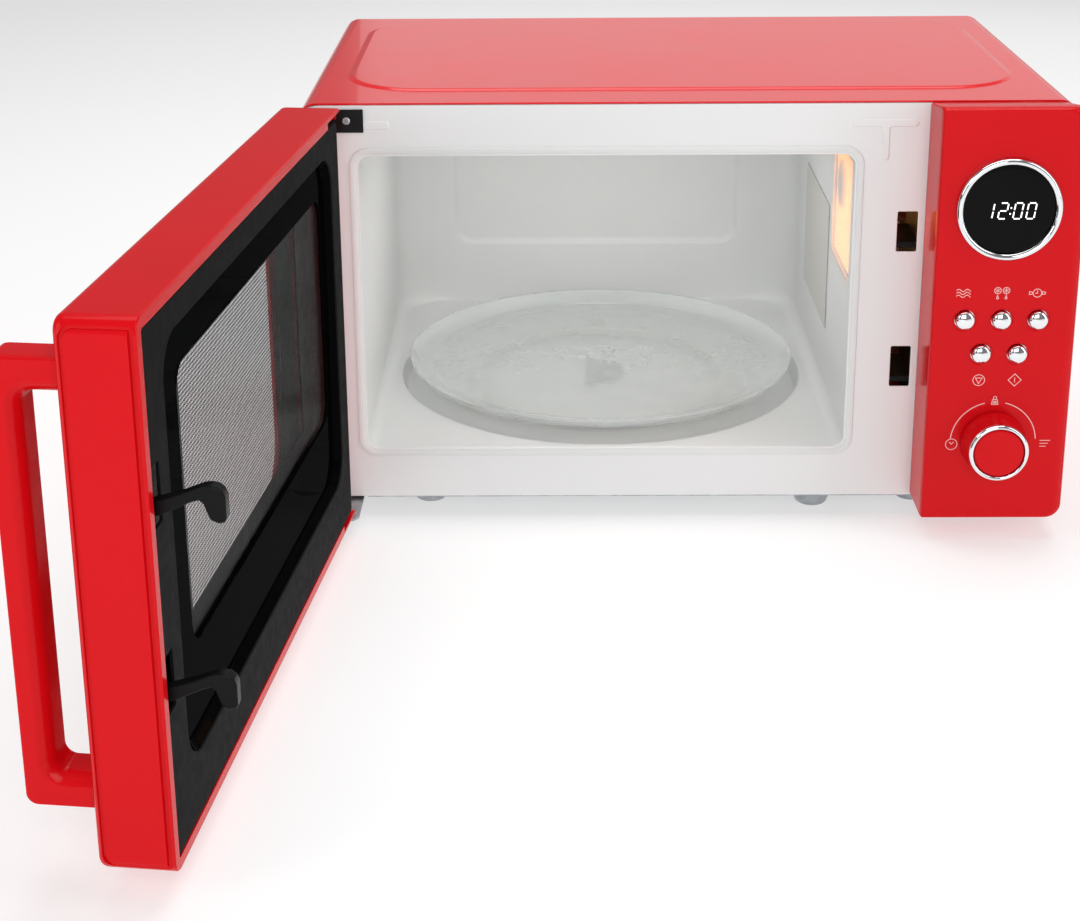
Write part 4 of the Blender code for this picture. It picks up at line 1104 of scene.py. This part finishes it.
# %% Screen with its perforated field
FIELD = (-0.1510, 0.0570, 0.0830, 0.2010)
opening = rounded(*FIELD, 0.0002)
pan_in, pan_out = rounded(-0.205, 0.112, 0.015, 0.233, 0.005), rounded(-0.206, 0.113, 0.014, 0.234, 0.006)
pan_steps = [(pan_in, -0.0140), (pan_in, -0.0220), (pan_out, -0.0220), (pan_out, -0.0130)]
pan = stacked("y", pan_steps + [(opening, -0.0130), (opening, -0.0140)], "ring")
piece("screen_pan", pan, black_plastic, "door", ("door_screen",))
field_size = (FIELD[1] - FIELD[0], FIELD[3] - FIELD[2])
field_centre = ((FIELD[0] + FIELD[1]) / 2, -0.0138, (FIELD[2] + FIELD[3]) / 2)
field = perforated(field_size[0], field_size[1], 0.00184, field_centre, (math.pi / 2, 0, 0), black_plastic)
print("screen faces:", len(field.faces))
piece("screen_perforations", field, black_plastic, "door", closed=False)
glass = slab(rounded(-0.184, 0.0935, 0.034, 0.216, 0.010), "y", -0.0333, -0.0303)
piece("front_window_glass", glass, pane_glass, "door", ("door_front_glass",))

outer = rounded(-0.2050, 0.1060, 0.0200, 0.2320, 0.004)
border = stacked("y", [(window, -0.0302), (window, -0.0298), (outer, -0.0298), (outer, -0.0302)], "ring")
piece("window_black_border", border, black_plastic, "door")

# %% [markdown]
# The handle is a C seen from the side, lofted across its width, with a softer edge on the side
# near the free end. The two latch hooks are one plate with rounded edges, which a Bevel gives.


# %% Handle
HANDLE_LOW, HANDLE_TOP = 0.0240, 0.2252


def quarter(centre, radius, start, turn, steps=10):
    spots = [math.radians(start + turn * k / steps) for k in range(steps + 1)]
    return [(centre[0] + radius * math.cos(s), centre[1] + radius * math.sin(s)) for s in spots]


def grip(shrink, ease):
    """The grip from the side, in Y and Z. ease rounds the edge of the finger gap."""
    root, out = FRONT - 0.0003, -0.0695 + shrink
    top, bottom = HANDLE_TOP - shrink, HANDLE_LOW + shrink
    bar, arm = 0.0127 - shrink - ease, 0.0155 - shrink - ease
    outer, inner = 0.0050, 0.0055 + ease
    gap = out + bar + inner
    points = [(root, top)] + quarter((out + outer, top - outer), outer, 90, 90)
    points += quarter((out + outer, bottom + outer), outer, 180, 90) + [(root, bottom), (root, bottom + arm)]
    points += quarter((gap, bottom + arm + inner), inner, 270, -90)
    points += quarter((gap, top - arm - inner), inner, 180, -90)
    return points + [(root, top - arm)]


near, far = HANDLE_X + 0.0090, HANDLE_X - 0.0090
across_grip = [
    (far, 0.0016, 0.0006), (far + 0.0003, 0.0008, 0.0002), (far + 0.0010, 0.0002, 0.0),
    (far + 0.0018, 0.0, 0.0), (near - 0.0068, 0.0, 0.0), (near - 0.0048, 0.0, 0.0004),
    (near - 0.0032, 0.0, 0.0012), (near - 0.0018, 0.0001, 0.0024), (near - 0.0008, 0.0003, 0.0038),
    (near - 0.0002, 0.0007, 0.0050), (near, 0.0012, 0.0060),
]
handle = stacked("x", [(grip(shrink, ease), x) for x, shrink, ease in across_grip])
bores = [rod(0.0021, (HANDLE_X, FRONT - 0.012, z), (HANDLE_X, -0.02, z)) for z in (0.2174, 0.0318)]
handle = carved(handle, [together(bores)])
piece("handle_grip", handle, red_plastic, "door", ("door_handle",), sharp=34)


# %% Latch hooks
BAR_BACK, BAR_FRONT, REACH = -0.0280, -0.0215, 0.0262


def hook(base):
    """One hook from the bar's edge over its arm, down its nose and back, in Y and height."""
    points = [
        (BAR_FRONT, 0.0080), (-0.0060, 0.0075), (0.0090, 0.0122), (0.0172, 0.0156), (0.0200, 0.0160),
        (0.0228, 0.0156), (0.0252, 0.0138), (REACH, 0.0112), (REACH, 0.0022), (0.0255, 0.0005),
        (0.0238, 0.0), (0.0222, 0.0002), (0.0198, 0.0012), (0.0185, 0.0040), (0.0172, 0.0080),
        (0.0155, 0.0095), (0.0120, 0.0084), (0.0060, 0.0055), (-0.0060, 0.0), (BAR_FRONT, 0.0),
    ]
    return [(y, base + height) for y, height in points]


slide = [(BAR_BACK, 0.218), (BAR_FRONT, 0.218)] + hook(0.1602) + hook(0.0777)
slide = slab(slide + [(BAR_FRONT, 0.066), (BAR_BACK, 0.066)], "x", HOOK_X - 0.0028, HOOK_X + 0.0028)
piece("latch_slide", slide, black_plastic, "latch", ("latch_hooks",), edge=0.0006)
print("handle", round(HANDLE_TOP - HANDLE_LOW, 4), "m long; hooks reach", REACH, "m past the front plate")

# %% [markdown]
# ## Screws, by Geometry Nodes
# The back panel and base are held by cross-head screws, all alike, so a tree places one head at
# each point it is given. The head is a shallow cone with a cross cut into it. The whole set turns
# together, since all the screws of one panel face the same way.

# %% The tree for screws
screw_tree, given, result = tree_with(
    "cross_head_screws", {"Radius": "Float", "Height": "Float", "Turn": "Vector", "Finish": "Material"}
)
radius, height = given["Radius"], given["Height"]
top_radius = calc(screw_tree, "MULTIPLY", radius, 0.66)
cone = {"Vertices": 28, "Radius Top": top_radius, "Radius Bottom": radius, "Depth": height}
head = add(screw_tree, "GeometryNodeMeshCone", cone)
arm_long, arm_wide = calc(screw_tree, "MULTIPLY", radius, 1.1), calc(screw_tree, "MULTIPLY", radius, 0.24)
sizes = [
    add(screw_tree, "ShaderNodeCombineXYZ", {"X": a, "Y": b, "Z": height}).outputs[0]
    for a, b in ((arm_long, arm_wide), (arm_wide, arm_long))
]
lift = add(screw_tree, "ShaderNodeCombineXYZ", {"Z": height}).outputs[0]
solid = head.outputs["Mesh"]
for size in sizes:
    arm = add(screw_tree, "GeometryNodeMeshCube", {"Size": size})
    raised = add(screw_tree, "GeometryNodeTransform", {"Geometry": arm.outputs["Mesh"], "Translation": lift})
    cut = add(screw_tree, "GeometryNodeMeshBoolean", operation="DIFFERENCE")
    screw_tree.links.new(solid, cut.inputs[0])
    screw_tree.links.new(raised.outputs[0], cut.inputs[1])
    solid = cut.outputs[0]
turn_to = add(screw_tree, "FunctionNodeEulerToRotation", {0: given["Turn"]}).outputs[0]
heads = {"Points": given["Geometry"], "Instance": solid, "Rotation": turn_to}
set_of = add(screw_tree, "GeometryNodeInstanceOnPoints", heads)
end_tree(screw_tree, set_of, given["Finish"], result[0])


def screws(name, points, turn, look, size=0.0036, height=0.0015):
    work = grown(screw_tree, {"Radius": size, "Height": height, "Turn": turn, "Finish": look}, points)
    return piece(name, work, look, "cabinet", closed=False)


spots = [(x, z) for x in (-0.211, 0.211) for z in (0.014, 0.120, 0.228)]
spots += [(-0.110, 0.232), (0.020, 0.232), (0.125, 0.232), (-0.110, 0.010), (0.060, 0.010), (0.185, 0.095)]
points = [(x, CASE_DEPTH - 0.0005, z) for x, z in spots]
screws("back_panel_screws", points, (-math.pi / 2, 0, 0), steel)
spots = [(x, y) for x in (-0.200, 0.200) for y in (0.060, 0.130, 0.200)]
spots += [(-0.0755, 0.1365), (-0.0155, 0.1365), (0.120, 0.100), (0.190, 0.100)]
screws("base_screws", [(x, y, -0.0001) for x, y in spots], (math.pi, 0, 0), steel)
screws("hinge_screws", [(-0.1925, -0.0013, 0.2330)], (math.pi / 2, 0, 0), steel, 0.0021, 0.0006)
print("screw heads placed by", len(screw_tree.nodes), "nodes")

# %% [markdown]
# ## Finishes for the CAD pieces that stay
# The rest are the right shape already. Each takes the finish of its real material in the place
# of its plain one.

# %% Give the kept solids their finishes
kept = {
    galvanised: ("back_panel", "hinge_lower_bracket"),
    mica: ("waveguide_cover",),
    steel: (
        "waveguide", "turntable_motor", "transformer_core", "fan_motor", "hinge_upper_pin", "hinge_lower_pin",
        "latch_spring", "handle_screw_1", "handle_screw_2",
    ),
    aluminium: ("magnetron", "hv_capacitor"),
    copper: ("transformer_winding",),
    board_green: ("filter_board", "control_board"),
    black_plastic: (
        "latch_bracket", "door_switch_upper", "door_switch_middle", "door_switch_lower", "display_module",
        "dial_encoder",
    ),
    black_metal: ("hinge_upper_bracket",),
    rubber: ("cord_inlet",),
    white_plastic: (
        "fan_blade", "fan_shroud", "cavity_lamp", "roller_wheel_1", "roller_wheel_2", "roller_wheel_3",
    ),
}
for look, names in kept.items():
    for name in names:
        nodes[name].data.materials.clear()
        nodes[name].data.materials.append(look)
plain = [name for name, obj in nodes.items() if not obj.hide_render and name not in sum(kept.values(), ())]
print("kept solids:", sum(len(names) for names in kept.values()), "still plain:", plain)

# %% [markdown]
# ## Floor, light and camera
# Gloss red needs something to reflect. A wide soft box overhead and one on each side give long
# clean gradients, and a weak card behind puts a sheen on the top. A fill from the front and a
# small lamp in the oven keep the inside light. The floor is plain and nearly white.

# %% Floor
floor_mesh = bmesh.new()
bmesh.ops.create_grid(floor_mesh, x_segments=1, y_segments=1, size=6.0)
bmesh.ops.translate(floor_mesh, verts=floor_mesh.verts, vec=(0, 0, foot_low - 0.0002))
floor = helper(floor_mesh, "pale_floor")
floor_finish = finish("pale_studio_floor", "c4c4c4", "c1c1c1", 400, (0.6, 0.7), Specular_IOR_Level=0.1)
floor_shader = floor_finish.node_tree.nodes["Principled BSDF"]
floor_shader.inputs["Emission Color"].default_value = (1, 1, 1, 1)
floor_shader.inputs["Emission Strength"].default_value = 0.5
floor.data.materials.append(floor_finish)
floor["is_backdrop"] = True


# %% Lights
def soft_box(name, place, aim, size, watts, tall=None):
    """A rectangular lamp at a place, turned to shine at a point."""
    data = bpy.data.lights.new(name, "AREA")
    data.shape, data.size, data.size_y, data.energy = "RECTANGLE", size, tall or size, watts
    lamp = bpy.data.objects.new(name, data)
    lamp.location = place
    lamp.rotation_euler = (Vector(aim) - Vector(place)).to_track_quat("-Z", "Y").to_euler()
    lamp.visible_camera = False
    bpy.context.scene.collection.objects.link(lamp)


soft_box("overhead_soft_box", (0.1, 0.35, 1.5), (0.05, 0.10, 0), 1.5, 18)
soft_box("back_card", (0.45, 1.7, 0.62), (0.1, 0, 0.2), 1.7, 1.8, 0.75)
soft_box("left_soft_box", (-1.6, -1.1, 0.7), (-0.15, -0.1, 0.1), 0.9, 9, 1.6)
soft_box("right_soft_box", (1.5, -0.7, 0.8), (0.15, 0, 0.1), 0.6, 7, 1.6)
soft_box("front_fill", (-0.05, -1.5, 0.75), (-0.05, 0.15, 0.1), 0.9, 9)
soft_box("light_in_the_oven", (-0.0455, 0.110, 0.2105), (-0.0455, 0.115, 0.0), 0.20, 0.20)
world = bpy.data.worlds.new("white_room")
world.use_nodes = True
background = world.node_tree.nodes["Background"]
background.inputs["Color"].default_value = (1, 1, 1, 1)
background.inputs["Strength"].default_value = 0.22
bpy.context.scene.world = world
bpy.context.scene.view_settings.view_transform = "Standard"

# %% [markdown]
# The camera stands a metre in front, a little above the oven, and looks down about 18 degrees.
# A shift of the lens frames the object without changing the angle it is seen from.

# %% Camera
yaw, pitch, roll = (math.radians(value) for value in (0.525, -17.714, 0.403))
right, ahead, up = (
    Matrix.Rotation(yaw, 3, "Z") @ Matrix.Rotation(pitch, 3, "X") @ Matrix.Rotation(roll, 3, "Y")
).col
pose = Matrix((right, up, -ahead)).transposed().to_4x4()
camera_data = bpy.data.cameras.new("camera")
camera_data.sensor_width, camera_data.lens, camera_data.shift_y = 36, 63.904, -0.18
camera = bpy.data.objects.new("camera", camera_data)
camera.matrix_world = Matrix.Translation((-0.0740, -1.0563, 0.4836)) @ pose
bpy.context.scene.collection.objects.link(camera)
bpy.context.scene.camera = camera
print("camera at", [round(value, 3) for value in camera.location])

# %% Sizes and finish
visual_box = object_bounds()
boxes = {"cad": cad_box, "visual": visual_box}
{name: [list(corner) for corner in box] for name, box in boxes.items()}
print("pieces made:", len(made_pieces))
